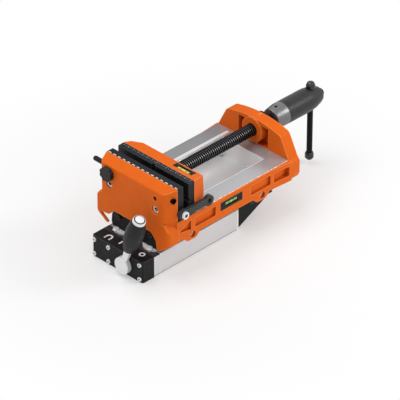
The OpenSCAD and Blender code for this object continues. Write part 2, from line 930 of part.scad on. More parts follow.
module end_plate() {
    difference() {
        union() {
            difference() {
                along_y(end_y, back_y)
                    end_plate_outline();
                both_sides()
                    along_y(end_y - 1, end_y + end_pocket_in)
                        difference() {
                            translate([end_web_x, way_z])
                                square([end_pocket_x - end_web_x, end_pocket_h]);
                            translate([0, spindle_z])
                                circle(d = end_boss_d);
                        }
            }
            rod_y(0, spindle_z, end_y - end_boss_out, end_y + 1, end_boss_d);
        }
        rod_y(0, spindle_z, end_y - end_boss_out - 1, back_y + 1, spindle_d + 2 * end_lip_gap);
        rod_y(0, spindle_z, end_y, back_y + 1, nut_d + 2 * round_fit);
        nut_screw_holes(round_fit);
    }
}

module nut_screw_holes(fit) {
    for (turn = [0:120:240])
        translate([nut_screw_r * sin(turn), 0, nut_screw_r * cos(turn)]) {
            rod_y(0, spindle_z, back_y - nut_bite - fit, back_y + nut_flange_t + 1, nut_screw_d + 2 * fit);
            rod_y(0, spindle_z, back_y + nut_flange_t - nut_head_t, back_y + nut_flange_t + 1,
                nut_head_d + 2 * fit);
        }
}

module clamp_holes() {
    for (side = [-1, 1])
        rod_y(side * clamp_x, rod_z, front_y - 1, stop_y, clamp_hole_d + 2 * round_fit);
}

module vise_frame() {
    color(orange)
        difference() {
            union() {
                fixed_jaw_block();
                jaw_foot_block();
                rail(lip_drop);
                mirror([1, 0, 0])
                    rail(left_lip_drop);
                end_plate();
            }
            both_sides()
                rod_x(stop_y, rod_z, rod_web / 2, jaw_x + 1, rod_d + 4 * round_fit);
            clamp_holes();
            for (side = [-1, 1]) {
                rod_y(side * plate_bolt_x, plate_bolt_z, front_y - 1, -seat_y + 1,
                    plate_bolt_d + 2 * round_fit);
                rod_y(side * plate_bolt_x, plate_bolt_z, front_y - 1, front_y + plate_bolt_sink,
                    plate_bolt_head_d + 1);
            }
            block(rail_level_in, body_x + 1, level_pocket_y - rail_level_len / 2,
                level_pocket_y + rail_level_len / 2, rail_level_z - rail_level_h / 2,
                rail_level_z + rail_level_h / 2);
        }
}

module bed() {
    color(steel)
        difference() {
            along_y(-seat_y, end_y)
                polygon(both_halves([[bed_x, bed_z], [bed_x, wing_z], [wing_x, wing_z], [wing_x, way_z]]));
            along_y(-seat_y - 1, slot_end_y)
                polygon(both_halves([[slot_x, floor_z], [slot_x, groove_top - groove_h],
                    [groove_x, groove_top - groove_h], [groove_x, groove_top], [slot_x, groove_top],
                    [slot_x, way_z + 1]]));
            translate([-slot_x + drain_edge + drain_d / 2, slot_end_y - drain_edge - drain_d / 2, bed_z - 1])
                cylinder(d = drain_d, h = floor_t + 2);
            adapter_screw_holes(round_fit);
            both_sides()
                for (y = lobe_ys)
                    rod_x(y, frame_bolt_z, bed_x - frame_bolt_bite - round_fit, bed_x + 1,
                        frame_bolt_d + 2 * round_fit);
        }
}

module frame_bolts() {
    color(steel)
        both_sides()
            for (y = lobe_ys) {
                rod_x(y, frame_bolt_z, bed_x - frame_bolt_bite, body_x - frame_bolt_sink, frame_bolt_d);
                rod_x(y, frame_bolt_z, body_x - frame_bolt_sink - frame_bolt_head_t,
                    body_x - frame_bolt_sink, frame_bolt_head_d);
            }
}

module fixed_jaw_plate() {
    color(black)
        difference() {
            block(-jaw_x, jaw_x, -seat_y, grip_y, way_z, jaw_z);
            for (side = [-1, 1])
                rod_y(side * plate_bolt_x, plate_bolt_z, -seat_y - 1, -seat_y + plate_bite + round_fit,
                    plate_bolt_d + 2 * round_fit);
            rod_x(swing_y, swing_z, jaw_x - swing_thread_len - round_fit, jaw_x + 1,
                swing_thread_d + 2 * round_fit);
        }
}

module fixed_plate_bolts() {
    color(steel)
        for (side = [-1, 1]) {
            rod_y(side * plate_bolt_x, plate_bolt_z, front_y + plate_bolt_sink - plate_bolt_head_t,
                front_y + plate_bolt_sink, plate_bolt_head_d);
            rod_y(side * plate_bolt_x, plate_bolt_z, front_y + plate_bolt_sink - 1, -seat_y + plate_bite,
                plate_bolt_d);
        }
}

module spindle_nut() {
    color("#4a4e55")
        difference() {
            union() {
                rod_y(0, spindle_z, end_y, back_y, nut_d);
                rod_y(0, spindle_z, back_y, back_y + nut_flange_t, nut_flange_d);
            }
            rod_y(0, spindle_z, end_y - 1, back_y + nut_flange_t + 1, spindle_d + 2 * round_fit);
            nut_screw_holes(round_fit);
        }
}

module nut_screws() {
    color(steel)
        for (turn = [0:120:240])
            translate([nut_screw_r * sin(turn), 0, nut_screw_r * cos(turn)]) {
                rod_y(0, spindle_z, back_y - nut_bite, back_y + nut_flange_t - nut_head_t + 1, nut_screw_d);
                rod_y(0, spindle_z, back_y + nut_flange_t - nut_head_t, back_y + nut_flange_t, nut_head_d);
            }
}

// Spirit levels

// A level's block with a window over its vial, its length along X, its top at Z = 0
module level_block(len, wide) {
    difference() {
        block(-len / 2, len / 2, -wide / 2, wide / 2, -level_depth, 0);
        block(-vial_len / 2, vial_len / 2, -vial_d / 2, vial_d / 2, -vial_d / 2 - vial_cover, 1);
        rod_x(0, -vial_d / 2 - vial_cover, -vial_len / 2, vial_len / 2, vial_d);
    }
}

module level_vial() {
    rod_x(0, -vial_d / 2 - vial_cover, -vial_len / 2 + round_fit, vial_len / 2 - round_fit,
        vial_d - 2 * round_fit);
}

module on_jaw_top() {
    translate([jaw_level_x, jaw_level_y, jaw_level_top])
        children();
}

module on_rail_side() {
    translate([body_x + rail_level_out, level_pocket_y, rail_level_z])
        rotate([90, 0, 90])
            children();
}

module rail_level_body() {
    color(black)
        on_rail_side()
            level_block(rail_level_len - 2 * round_fit, rail_level_h - 2 * round_fit);
}

module rail_level_vial() {
    color("#8fc31f")
        on_rail_side()
            level_vial();
}

module jaw_level_body() {
    color(black)
        on_jaw_top()
            level_block(jaw_level_len - 2 * round_fit, jaw_level_w - 2 * round_fit);
}

module jaw_level_vial() {
    color("#b9c52a")
        on_jaw_top()
            level_vial();
}

// Moving jaw

module keeper_screw_holes(fit) {
    for (side = [-1, 1])
        translate([side * keeper_screw_x, moving_y + guide_len * 0.75, keeper_z - 1])
            cylinder(d = keeper_screw_d + 2 * fit, h = keeper_t + way_t - 1 + fit);
}

module retainer_screw_holes(fit) {
    for (turn = [45:90:315])
        translate([retainer_screw_r * sin(turn), 0, retainer_screw_r * cos(turn)])
            rod_y(0, spindle_z, thrust_y - retainer_bite - fit, retainer_end + 1,
                retainer_screw_d + 2 * fit);
}

// Plan of the wedge cut off the moving jaw's left rear corner
module moving_corner_cut() {
    top_depth = moving_depth - moving_draft;
    slope = moving_cut.y / moving_cut.x;
    polygon([[-jaw_x, top_depth - moving_cut.y - 0.5],
        [-jaw_x + moving_cut.x * 2, top_depth - 0.5 - moving_cut.y + moving_cut.x * 2 * slope],
        [-jaw_x, moving_depth * 2]]);
}

module moving_jaw() {
    color(orange)
        difference() {
            union() {
                intersection() {
                    translate([0, moving_y, jaw_foot])
                        linear_extrude(jaw_h)
                            difference() {
                                jaw_plan(moving_depth, jaw_taper);
                                moving_corner_cut();
                            }
                    along_x(-jaw_x, jaw_x)
                        rounded([[moving_y, jaw_foot], [moving_y, jaw_z],
                            [moving_back - moving_draft, jaw_z - jaw_fall], [moving_back, jaw_foot]],
                            [0, 0, 3, 0]);
                }
                block(-slot_x + slide_fit, slot_x - slide_fit, moving_y, moving_y + guide_len,
                    groove_top - slide_fit, jaw_foot);
                block(-slot_x + slide_fit, slot_x - slide_fit, moving_y, moving_back - 1,
                    jaw_foot - 1, jaw_foot + 1);
            }
            rod_y(0, spindle_z, thrust_y - nose_len, thrust_y + 1, nose_d + 2 * round_fit);
            rod_y(0, spindle_z, thrust_y, moving_back + 1, retainer_d + 2 * round_fit);
            for (side = [-1, 1]) {
                rod_y(side * plate_bolt_x, plate_bolt_z, moving_y - 1, moving_back,
                    plate_bolt_d + 2 * round_fit);
                rod_y(side * plate_bolt_x, plate_bolt_z, moving_y + plate_bolt_sink, moving_back + 1,
                    plate_bolt_head_d + 1);
            }
            translate([jaw_level_x, jaw_level_y, jaw_level_z])
                block(-jaw_level_len / 2, jaw_level_len / 2, -jaw_level_w / 2, jaw_level_w / 2, 0, jaw_h);
            keeper_screw_holes(round_fit);
            retainer_screw_holes(round_fit);
        }
}

module moving_jaw_plate() {
    color(black)
        difference() {
            block(-jaw_x, jaw_x, moving_plate_y, moving_y, jaw_foot, jaw_z);
            for (side = [-1, 1])
                rod_y(side * plate_bolt_x, plate_bolt_z, moving_y - plate_bite - round_fit, moving_y + 1,
                    plate_bolt_d + 2 * round_fit);
            translate([0, moving_plate_y, (jaw_foot + jaw_z) / 2])
                rotate([45, 0, 0])
                    cube([jaw_w + 2, vee_w / sqrt(2), vee_w / sqrt(2)], center = true);
            translate([0, moving_plate_y, (jaw_foot + jaw_z) / 2])
                rotate([0, 0, 45])
                    cube([vee_w / sqrt(2), vee_w / sqrt(2), jaw_h + 2], center = true);
        }
}

module moving_plate_bolts() {
    color(steel)
        for (side = [-1, 1]) {
            rod_y(side * plate_bolt_x, plate_bolt_z, moving_y + plate_bolt_sink,
                moving_y + plate_bolt_sink + plate_bolt_head_t, plate_bolt_head_d);
            rod_y(side * plate_bolt_x, plate_bolt_z, moving_y - plate_bite, moving_y + plate_bolt_sink + 1,
                plate_bolt_d);
        }
}

module jaw_keeper() {
    color("#8f9398")
        difference() {
            block(-groove_x + slide_fit, groove_x - slide_fit, moving_y, moving_y + guide_len, keeper_z,
                groove_top - slide_fit);
            keeper_screw_holes(round_fit);
        }
}

module keeper_screws() {
    color(steel)
        for (side = [-1, 1])
            translate([side * keeper_screw_x, moving_y + guide_len * 0.75, 0]) {
                translate([0, 0, keeper_z - 1])
                    cylinder(d = keeper_screw_d, h = keeper_t + way_t - 1);
                translate([0, 0, keeper_z - 4])
                    cylinder(d = keeper_screw_d * 1.7, h = 4);
            }
}

module spindle_retainer() {
    color("#8f9398")
        difference() {
            rod_y(0, spindle_z, thrust_y, retainer_end, retainer_d);
            rod_y(0, spindle_z, thrust_y - 1, retainer_end + 1, spindle_d + 2 * slide_fit);
            rod_y(0, spindle_z, thrust_y - 1, thrust_y + collar_t + 2 * collar_gap,
                collar_d + 2 * slide_fit);
            retainer_screw_holes(round_fit);
        }
}

module retainer_screws() {
    color(steel)
        for (turn = [45:90:315])
            translate([retainer_screw_r * sin(turn), 0, retainer_screw_r * cos(turn)]) {
                rod_y(0, spindle_z, thrust_y - retainer_bite, retainer_end + 1, retainer_screw_d);
                rod_y(0, spindle_z, retainer_end, retainer_end + retainer_head_t, retainer_screw_d * 1.7);
            }
}

// Spindle and handle

module bar_hole() {
    translate([0, bar_y, spindle_z - grip_d])
        cylinder(d = bar_d + 2 * bar_fit, h = 2 * grip_d);
}

module spindle() {
    color("#2a2b2e")
        difference() {
            union() {
                rod_y(0, spindle_z, thrust_y - nose_len + 1, thrust_y + 1, nose_d);
                rod_y(0, spindle_z, thrust_y + collar_gap, thrust_y + collar_gap + collar_t, collar_d);
                rod_y(0, spindle_z, thrust_y + collar_t, handle_y - 2, spindle_d);
                rod_y(0, spindle_z, handle_y - 3, tang_end, tang_d);
            }
            bar_hole();
        }
}

module grip_collar() {
    color("#6d7076")
        difference() {
            on_spindle(handle_y)
                rotate_extrude()
                    polygon([[tang_d / 2 + round_fit, 0], [sleeve_nose_r - 1.5, 0], [sleeve_nose_r, 1.5],
                        [sleeve_r, sleeve_len * 0.7], [sleeve_r, sleeve_len],
                        [tang_d / 2 + round_fit, sleeve_len]]);
            collar_screw_hole(round_fit);
        }
}

module collar_screw_hole(fit) {
    translate([0, handle_y + sleeve_len * 0.45, spindle_z + tang_d / 2 + round_fit])
        cylinder(d = bar_screw_d + 2 * fit, h = grip_d);
}

module collar_screw() {
    color(black)
        translate([0, handle_y + sleeve_len * 0.45, spindle_z + tang_d / 2 + 2 * round_fit])
            cylinder(d = bar_screw_d, h = sleeve_nose_r - tang_d / 2 - 1);
}

// Radius of the handle at the distance u behind its sleeve, falling away past the straight stretch
function grip_r(u) =
    grip_d / 2 - grip_end_fall * (max(0, u - grip_straight) / grip_taper) ^ 2;

module handle_grip() {
    color("#33353a")
        difference() {
            on_spindle(sleeve_end)
                rotate_extrude()
                    difference() {
                        polygon(concat([[0, 0], [sleeve_r, 0], [grip_d / 2, grip_swell]],
                            [for (i = [0:grip_steps])
                                let (u = grip_straight + i * grip_taper / grip_steps)
                                [grip_r(u), u]],
                            [[grip_nose_r + 4, grip_len - grip_tail * 0.35], [grip_nose_r, grip_len],
                            [0, grip_len]]));
                        translate([-1, -1])
                            square([tang_d / 2 + round_fit + 1, tang_end - sleeve_end + 1 + round_fit]);
                    }
            bar_hole();
            for (side = [0, 180])
                translate([0, bar_y, spindle_z])
                    rotate([side, 0, 0])
                        translate([0, 0, bar_seat - spindle_z])
                            cylinder(d = bar_end_d + 1, h = grip_d);
        }
}

module handle_cap() {
    color(black)
        on_spindle(grip_end)
            rotate_extrude()
                polygon([[0, 0], [cap_d / 2, 0], [cap_d / 2, cap_len - 1.5], [cap_d / 2 - 1.5, cap_len],
                    [0, cap_len]]);
}

module t_bar() {
    color(black)
        translate([0, bar_y, bar_low + ball_h - 2])
            cylinder(d = bar_d, h = bar_seat + slide_fit + 5 - bar_low - ball_h + 2);
}

module t_bar_knob() {
    r = bar_end_d / 2;
    color(black)
        translate([0, bar_y, bar_seat + slide_fit])
            rotate_extrude()
                difference() {
                    polygon([[0, 0], [r, 0], [r, bar_knob_h * 0.5], [r * 0.75, bar_knob_h * 0.86],
                        [r * 0.4, bar_knob_h], [0, bar_knob_h]]);
                    square([bar_d / 2 + round_fit, 5 + round_fit]);
                }
}

module t_bar_ball() {
    r = bar_end_d / 2 - 0.4;
    color(black)
        translate([0, bar_y, bar_low])
            rotate_extrude()
                difference() {
                    polygon([[0, 0], [r * 0.55, 0], [r, ball_h * 0.28], [r, ball_h * 0.75],
                        [r * 0.8, ball_h], [0, ball_h]]);
                    translate([0, ball_h - 2 - round_fit])
                        square([bar_d / 2 + round_fit, 3]);
                }
}

// Work stops

module stop_rod() {
    color("#33353a") {
        rod_x(stop_y, rod_z, rod_left + rod_d / 2, rod_left + rod_len, rod_d);
        translate([rod_left + rod_d / 2, stop_y, rod_z])
            sphere(d = rod_d);
    }
}

module stop_knob() {
    knob_y = front_y - knob_gap;
    color(black)
        difference() {
            union() {
                rod_y(-clamp_x, rod_z, knob_y - stop_knob_t, knob_y, stop_knob_d);
                rod_y(-clamp_x, rod_z, knob_y - 1, stop_y - rod_d / 2 - slide_fit, clamp_hole_d);
            }
            for (turn = [0:45:315])
                translate([-clamp_x + stop_knob_d * 0.56 * sin(turn), 0,
                    stop_knob_d * 0.56 * cos(turn)])
                    rod_y(0, rod_z, knob_y - stop_knob_t - 1, knob_y + 1, stop_knob_d * 0.24);
        }
}

module stop_arm() {
    color("#3c4047")
        difference() {
            union() {
                rod_x(swing_y, swing_z, swing_in, swing_in + swing_t, 2 * swing_boss_r);
                rod_x(swing_y + swing_len, swing_z, swing_in, swing_in + swing_t, 2 * swing_eye_r);
                block(swing_in, swing_in + swing_t, swing_y, swing_y + swing_len,
                    swing_z - swing_bar_h / 2, swing_z + swing_bar_h / 2);
            }
            rod_x(swing_y, swing_z, swing_in - 1, swing_in + swing_t + 1, swing_bolt_d + 2 * round_fit);
            rod_x(swing_y + swing_len, swing_z, swing_in - 1, swing_in + swing_t + 1, swing_eye_d);
        }
}

module stop_arm_bolt() {
    shoulder_end = swing_in + swing_t + slide_fit;
    color("#d4d7da") {
        rod_x(swing_y, swing_z, jaw_x - swing_thread_len, jaw_x + 1, swing_thread_d);
        rod_x(swing_y, swing_z, jaw_x, shoulder_end, swing_bolt_d);
        rod_x(swing_y, swing_z, shoulder_end, shoulder_end + 4, swing_bolt_d * 1.5);
    }
}

magnet_housing();
pole_shoes();
pole_spacer();
front_cover();
cover_screws();
tail_plate();
tail_screws();
magnet_rotor();
rotor_bushes();
lever_hub();
lever_arm();
lever_grip();
lever_cap();
adapter();
adapter_screws();
base_clamps();
clamp_screws();
tail_bracket();
bracket_studs();
vise_frame();
bed();
frame_bolts();
fixed_jaw_plate();
fixed_plate_bolts();
spindle_nut();
nut_screws();
rail_level_body();
rail_level_vial();
moving_jaw();
moving_jaw_plate();
moving_plate_bolts();
jaw_keeper();
keeper_screws();
spindle_retainer();
retainer_screws();
jaw_level_body();
jaw_level_vial();
spindle();
grip_collar();
collar_screw();
handle_grip();
handle_cap();
t_bar();
t_bar_knob();
t_bar_ball();
stop_rod();
stop_knob();
stop_arm();
stop_arm_bolt();
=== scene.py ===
"""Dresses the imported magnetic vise: finishes, thread, sockets, scales, levels and a studio."""

import json
import math

import bmesh
import bpy
from bpy.props import FloatProperty, FloatVectorProperty, IntProperty, PointerProperty
from mathutils import Matrix, Vector

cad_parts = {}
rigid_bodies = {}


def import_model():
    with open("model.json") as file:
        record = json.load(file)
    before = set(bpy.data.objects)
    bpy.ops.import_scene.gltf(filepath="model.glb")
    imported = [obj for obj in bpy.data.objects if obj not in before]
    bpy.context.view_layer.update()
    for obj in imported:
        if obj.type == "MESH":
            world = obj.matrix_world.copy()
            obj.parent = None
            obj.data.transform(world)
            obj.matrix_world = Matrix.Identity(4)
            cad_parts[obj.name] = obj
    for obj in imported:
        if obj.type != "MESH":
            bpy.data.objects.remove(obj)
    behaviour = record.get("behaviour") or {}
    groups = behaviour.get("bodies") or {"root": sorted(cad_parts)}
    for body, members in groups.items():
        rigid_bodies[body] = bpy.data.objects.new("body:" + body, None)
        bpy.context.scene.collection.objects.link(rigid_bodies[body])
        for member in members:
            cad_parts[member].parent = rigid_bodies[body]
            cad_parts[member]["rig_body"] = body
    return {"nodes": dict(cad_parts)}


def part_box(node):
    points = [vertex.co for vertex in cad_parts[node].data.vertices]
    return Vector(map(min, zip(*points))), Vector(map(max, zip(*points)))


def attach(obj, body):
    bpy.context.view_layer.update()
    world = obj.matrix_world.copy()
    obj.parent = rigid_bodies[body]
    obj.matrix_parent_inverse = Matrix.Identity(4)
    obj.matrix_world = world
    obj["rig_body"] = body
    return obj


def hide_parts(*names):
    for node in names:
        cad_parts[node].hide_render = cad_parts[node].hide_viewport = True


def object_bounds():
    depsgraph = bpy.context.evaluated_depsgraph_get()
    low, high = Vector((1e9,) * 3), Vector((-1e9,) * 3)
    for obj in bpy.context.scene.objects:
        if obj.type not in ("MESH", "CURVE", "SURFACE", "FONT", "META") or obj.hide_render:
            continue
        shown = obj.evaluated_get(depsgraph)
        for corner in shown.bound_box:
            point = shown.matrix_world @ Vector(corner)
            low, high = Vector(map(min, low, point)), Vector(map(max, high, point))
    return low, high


bl_info = {
    "name": "Magnetic Vise Dresser",
    "version": (1, 0, 0),
    "blender": (4, 5, 0),
    "location": "View3D > Sidebar > Vise",
    "description": "Gives a packed magnetic vise its finishes, fine detail and a studio",
    "category": "Object",
}

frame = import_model()
nodes = frame["nodes"]
cad_low, cad_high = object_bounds()

MM = 0.001
X, Y, Z = Vector((1, 0, 0)), Vector((0, 1, 0)), Vector((0, 0, 1))
FULL_TURN = 2 * math.pi
SEAM = 0.01 * MM
FLAT_ANGLE = math.radians(0.5)
CREASE_ANGLE = math.radians(30)
NOISE_LOW, NOISE_HIGH = 0.3, 0.7
LINE_STRETCH = 0.015
# Colour sockets of a Mix node
MIX_A, MIX_B, MIX_OUT = 6, 7, 2
SOCKET_LOOK = 2
HEXAGON = 6
DIGIT_SHARE = 0.7
FLOOR_HALF = 6.0
FLOOR_GAP = 0.2 * MM
SENSOR = 36
CLIP_END = 50


# Properties

def colour(name, description, default):
    return FloatVectorProperty(
        name=name, description=description, default=default, subtype="COLOR", min=0, max=1)


def length(name, description, millimetres):
    return FloatProperty(
        name=name, description=description, default=millimetres * MM, unit="LENGTH", min=0)


def share(name, description, default):
    return FloatProperty(
        name=name, description=description, default=default, subtype="FACTOR", min=0, max=1)


def angle(name, description, degrees):
    return FloatProperty(
        name=name, description=description, default=math.radians(degrees), subtype="ANGLE")


def position(name, description, metres):
    return FloatVectorProperty(
        name=name, description=description, default=metres, unit="LENGTH", subtype="XYZ")


def watts(name, description, power):
    return FloatProperty(
        name=name, description=description + ", in watts", default=power, min=0)


class ViseColours(bpy.types.PropertyGroup):
    """Colours of the finishes, linear"""
    paint: colour("Paint", "Powder coat on the castings", (0.80, 0.134, 0.005))
    # Painted shade: this colour darkens the paint in recesses and corners.
    hollow_paint: colour(
        "Hollow paint", "Powder coat in hollows and corners", (0.46, 0.060, 0.003))
    # Lighter edge colour, both worn paint and a painted highlight along the edges.
    rubbed_paint: colour(
        "Rubbed paint", "Powder coat where an edge is rubbed thin", (0.92, 0.27, 0.06))
    # Painted shade: this colour darkens the black paint in recesses and corners.
    hollow_black: colour(
        "Hollow black", "Black paint in hollows and corners", (0.006, 0.006, 0.006))
    # Lighter edge colour of the black paint, both worn paint and a painted highlight.
    rubbed_black: colour(
        "Rubbed black", "Black paint where an edge is rubbed thin", (0.05, 0.05, 0.052))
    black: colour("Black", "Black paint on the saddle, cover and levels", (0.011, 0.011, 0.012))
    oxide: colour("Oxide", "Blackened steel of the jaw plates and the rod", (0.010, 0.010, 0.012))
    arm: colour("Arm", "Dark grey steel of the swing arm", (0.034, 0.035, 0.037))
    spindle: colour("Spindle", "Blackened steel of the spindle and its nut", (0.004, 0.004, 0.005))
    crest: colour("Crest", "Worn crest of the spindle's thread", (0.085, 0.085, 0.089))
    bar: colour("Cross bar", "Black of the cross bar and its ends", (0.005, 0.005, 0.006))
    grip: colour("Lever grip", "Black plastic of the grip and the knob", (0.012, 0.012, 0.013))
    handle: colour("Handle", "Dark grey plastic of the handle", (0.034, 0.034, 0.036))
    sleeve: colour("Sleeve", "Grey steel of the handle's sleeve", (0.18, 0.182, 0.186))
    steel: colour("Steel", "Ground steel of the ways", (0.47, 0.475, 0.488))
    dull: colour(
        "Dull steel", "Plain steel of the poles, the rotor and the keeper", (0.282, 0.285, 0.2928))
    # Partly painted light: makes the walls and slot floor between the ways pale, and the painted
    # highlight strips.
    wall: colour(
        "Milled walls", "Pale milled steel of the walls between the ways", (0.88, 0.88, 0.88))
    silver: colour("Silver", "Satin plating of the magnet housing", (0.75, 0.76, 0.77))
    bright: colour("Bright", "Bright edges of the ways and hidden bolts", (0.80, 0.81, 0.83))
    satin: colour("Satin", "Pale satin plating of the lever and the screws", (0.86, 0.87, 0.88))
    pale: colour("Pale", "Nearly white plating of the clamps and the tail", (0.95, 0.95, 0.95))
    print_white: colour("Print", "White filling of the scale and the signs", (0.95, 0.95, 0.95))
    print_grey: colour(
        "Grey print", "Blue grey filling of the moving jaw's scale", (0.30, 0.32, 0.38))
    green_fluid: colour("Green fluid", "Fluid in the rail's spirit level", (0.24, 0.50, 0.03))
    yellow_fluid: colour("Yellow fluid", "Fluid in the jaw's spirit level", (0.62, 0.60, 0.02))
    bubble: colour("Bubble", "Bubble in the spirit levels", (0.848, 0.84, 0.608))
    brass: colour("Brass", "Strip between the pole shoes", (0.62, 0.42, 0.14))
    bronze: colour("Bronze", "Bushes of the lever's shaft", (0.45, 0.25, 0.10))


class ViseSizes(bpy.types.PropertyGroup):
    """Sizes of the fine detail"""
    cast_edge: length("Cast edge", "Rounding of the castings' edges", 0.9)
    fine_edge: length("Fine edge", "Rounding of the machined edges", 0.4)
    socket_across: share("Socket", "Width of a screw's socket as a share of its head", 0.5)
    socket_depth: share("Socket depth", "Depth of a screw's socket as a share of its width", 0.45)
    screw_d: length("Spindle", "Outer diameter of the spindle's thread", 20)
    thread_depth: length("Thread depth", "Depth of the spindle's thread", 1.7)
    lead: length("Lead", "Lead of the spindle's thread", 4)
    nose_d: length("Nose", "Diameter of the spindle's front pin", 14)
    collar_t: length("Collar", "Thickness of the spindle's collar", 4)
    collar_gap: length("Collar gap", "Play of the spindle's collar", 0.15)
    tang_d: length("Tang", "Diameter of the spindle inside the handle", 16)
    tang_gap: length("Tang gap", "Between the end of the thread and the handle", 2)
    print_t: length("Print", "Thickness of the printed marks", 0.08)
    scale_step: length("Scale step", "Distance between the marks of the scales", 10)
    scale_marks: IntProperty(
        name="Marks", description="Marks on either side of the middle", default=7)
    dash: length("Dash", "Length of a mark on the fixed jaw's scale", 5.2)
    dash_w: length("Dash width", "Width of a mark on the fixed jaw's scale", 1.3)
    dash_inset: length("Dash inset", "From the plate's front edge to the middle of the marks", 1.7)
    numeral: length("Numeral", "Height of a number on the moving jaw's scale", 4.2)
    tick: length("Tick", "Length of a tick on the moving jaw's scale", 2.2)
    tick_w: length("Tick width", "Width of a tick on the moving jaw's scale", 0.7)
    sign_w: length("Sign line", "Width of a line of the switch signs", 2.6)
    on_bar: length("On bar", "Length of the on sign", 8.5)
    off_ring: length("Off ring", "Radius of the off sign at the middle of its line", 3.9)
    magnet_w: length("Magnet sign", "Width of the magnet sign between its legs", 9.5)
    magnet_leg: length("Magnet leg", "Straight length of the magnet sign's legs", 3.2)
    magnet_pole: length("Magnet pole", "Length of the magnet sign's pole ends", 2.2)
    pole_gap: share("Pole gap", "Gap at the pole ends as a share of their length", 0.35)
    on_left: length("On left", "From the lever's axis to the on sign", 25.5)
    on_back: length("On back", "From the row of the signs to the on sign", 1.5)
    off_right: length("Off right", "From the lever's axis to the off sign", 19.5)
    off_back: length("Off back", "From the row of the signs to the off sign", 2)
    magnet_left: length("Magnet left", "From the lever's axis to the magnet sign", 48.5)
    magnet_front: length("Magnet front", "From the row of the signs to the magnet sign", 0.5)
    slot_w: length("Slot", "Width of the slot between the ways", 90)
    slot_end: length("Slot end", "From the end of the slot to the end plate", 23)
    # Painted highlight: pale strips along the slot's edges stand for a lit wall and edge.
    margin: length("Margin", "Width of the polished margin along the slot on the left way", 6)
    fine_margin: length("Fine margin", "Width of the polished margin on the right way", 1.2)
    # Painted shade in the free bore: a thin dark sheet and a dark ring round its mouth.
    liner: length("Liner", "Depth of the lining in the free bore", 30)
    liner_t: length("Liner wall", "Wall of the lining in the free bore", 0.15)
    liner_rim: length("Liner rim", "Width of the lining's rim round the free bore", 0.8)
    lever_lean: angle("Lever", "Lean of the lever as it stands, towards the right", 20.5)
    cap_ring: share("Cap ring", "Radius of the lever cap's ring as a share of the cap's", 0.92)
    cap_groove: share("Cap groove", "Radius of the cap's groove as a share of the cap's", 0.77)
    cap_disc: share("Cap disc", "Radius of the cap's disc as a share of the cap's", 0.62)


class ViseStudio(bpy.types.PropertyGroup):
    """Camera and light"""
    aim: position("Aim", "Point in the middle of the picture", (0.0047, 0.0566, 0.0482))
    azimuth: angle("Azimuth", "Where the camera stands, from the front towards the right", 44.93)
    elevation: angle("Elevation", "Height of the camera above the horizon", 33.70)
    distance: length("Distance", "From the aim to the camera", 5319.5)
    lens: FloatProperty(name="Lens", description="Focal length in millimetres", default=315)
    floor: share("Floor", "Brightness of the floor's paint", 0.97)
    wash: share("Wash", "White that the camera sees over the floor's shadow", 0.32)
    pool: length("Pool", "Radius of the floor that keeps the whole shadow", 200)
    fade: length("Fade", "Radius beyond which the floor is plain white", 520)
    card: share("Card", "Brightness of the card that the ways reflect", 0.10)
    card_far: length("Card distance", "From the middle to the card", 250)
    card_left: length("Card left", "Reach of the card to the left", 160)
    card_right: length("Card right", "Reach of the card to the right", 170)
    card_drop: length("Card drop", "From the ways down to the line where the card ends", 30)
    sky: FloatProperty(name="Sky", description="Strength of the even light all round", default=0.47)
    overhead: watts("Overhead", "Power of the lamp above", 11)
    overhead_size: length("Overhead size", "Diameter of the lamp above", 1300)
    overhead_place: position("Overhead place", "From the aim to the lamp above", (-0.3, -0.35, 1.5))
    side: watts("Side", "Power of the lamp at the right", 1.5)
    side_size: length("Side size", "Diameter of the lamp at the right", 900)
    side_place: position("Side place", "From the aim to the lamp at the right", (1.4, -0.6, 0.9))
    rear: watts("Rear", "Power of the lamp behind the right", 7)
    rear_size: length("Rear size", "Diameter of the lamp behind the right", 600)
    rear_place: position("Rear place", "From the aim to the rear lamp", (0.9, 0.9, 0.85))


# Finishes

finishes = {}


def finish(name):
    material = bpy.data.materials.new(name)
    material.use_nodes = True
    return material, material.node_tree.nodes["Principled BSDF"]


def add(material, kind, values=None, **settings):
    node = material.node_tree.nodes.new(kind)
    for key, value in settings.items():
        setattr(node, key, value)
    for key, value in (values or {}).items():
        node.inputs[key].default_value = value
    return node


def wire(material, source, target):
    material.node_tree.links.new(source, target)


def noise(material, scale, detail=3.0, stretch=(1, 1, 1)):
    """Noise in the frame's own metres, drawn out along an axis where stretch is small"""
    place = add(material, "ShaderNodeTexCoord")
    mapping = add(material, "ShaderNodeMapping", {"Scale": stretch})
    texture = add(material, "ShaderNodeTexNoise", {"Scale": scale, "Detail": detail})
    wire(material, place.outputs["Object"], mapping.inputs["Vector"])
    wire(material, mapping.outputs["Vector"], texture.inputs["Vector"])
    return texture.outputs["Fac"]


def mottle(material, shader, tone, spread, scale, stretch=(1, 1, 1)):
    """Base colour that varies about tone by the share spread"""
    ramp = add(material, "ShaderNodeValToRGB")
    for stop, level, at in zip(
            ramp.color_ramp.elements, (1 - spread, 1 + spread), (NOISE_LOW, NOISE_HIGH)):
        stop.position = at
        stop.color = (*[min(1, c * level) for c in tone], 1)
    wire(material, noise(material, scale, detail=4, stretch=stretch), ramp.inputs["Fac"])
    wire(material, ramp.outputs["Color"], shader.inputs["Base Color"])


def gloss(material, shader, low, high, scale, stretch=(1, 1, 1)):
    """Roughness that wanders between low and high"""
    reach = add(material, "ShaderNodeMapRange", {
        "From Min": NOISE_LOW, "From Max": NOISE_HIGH, "To Min": low, "To Max": high})
    wire(material, noise(material, scale, detail=5, stretch=stretch), reach.inputs["Value"])
    wire(material, reach.outputs["Result"], shader.inputs["Roughness"])


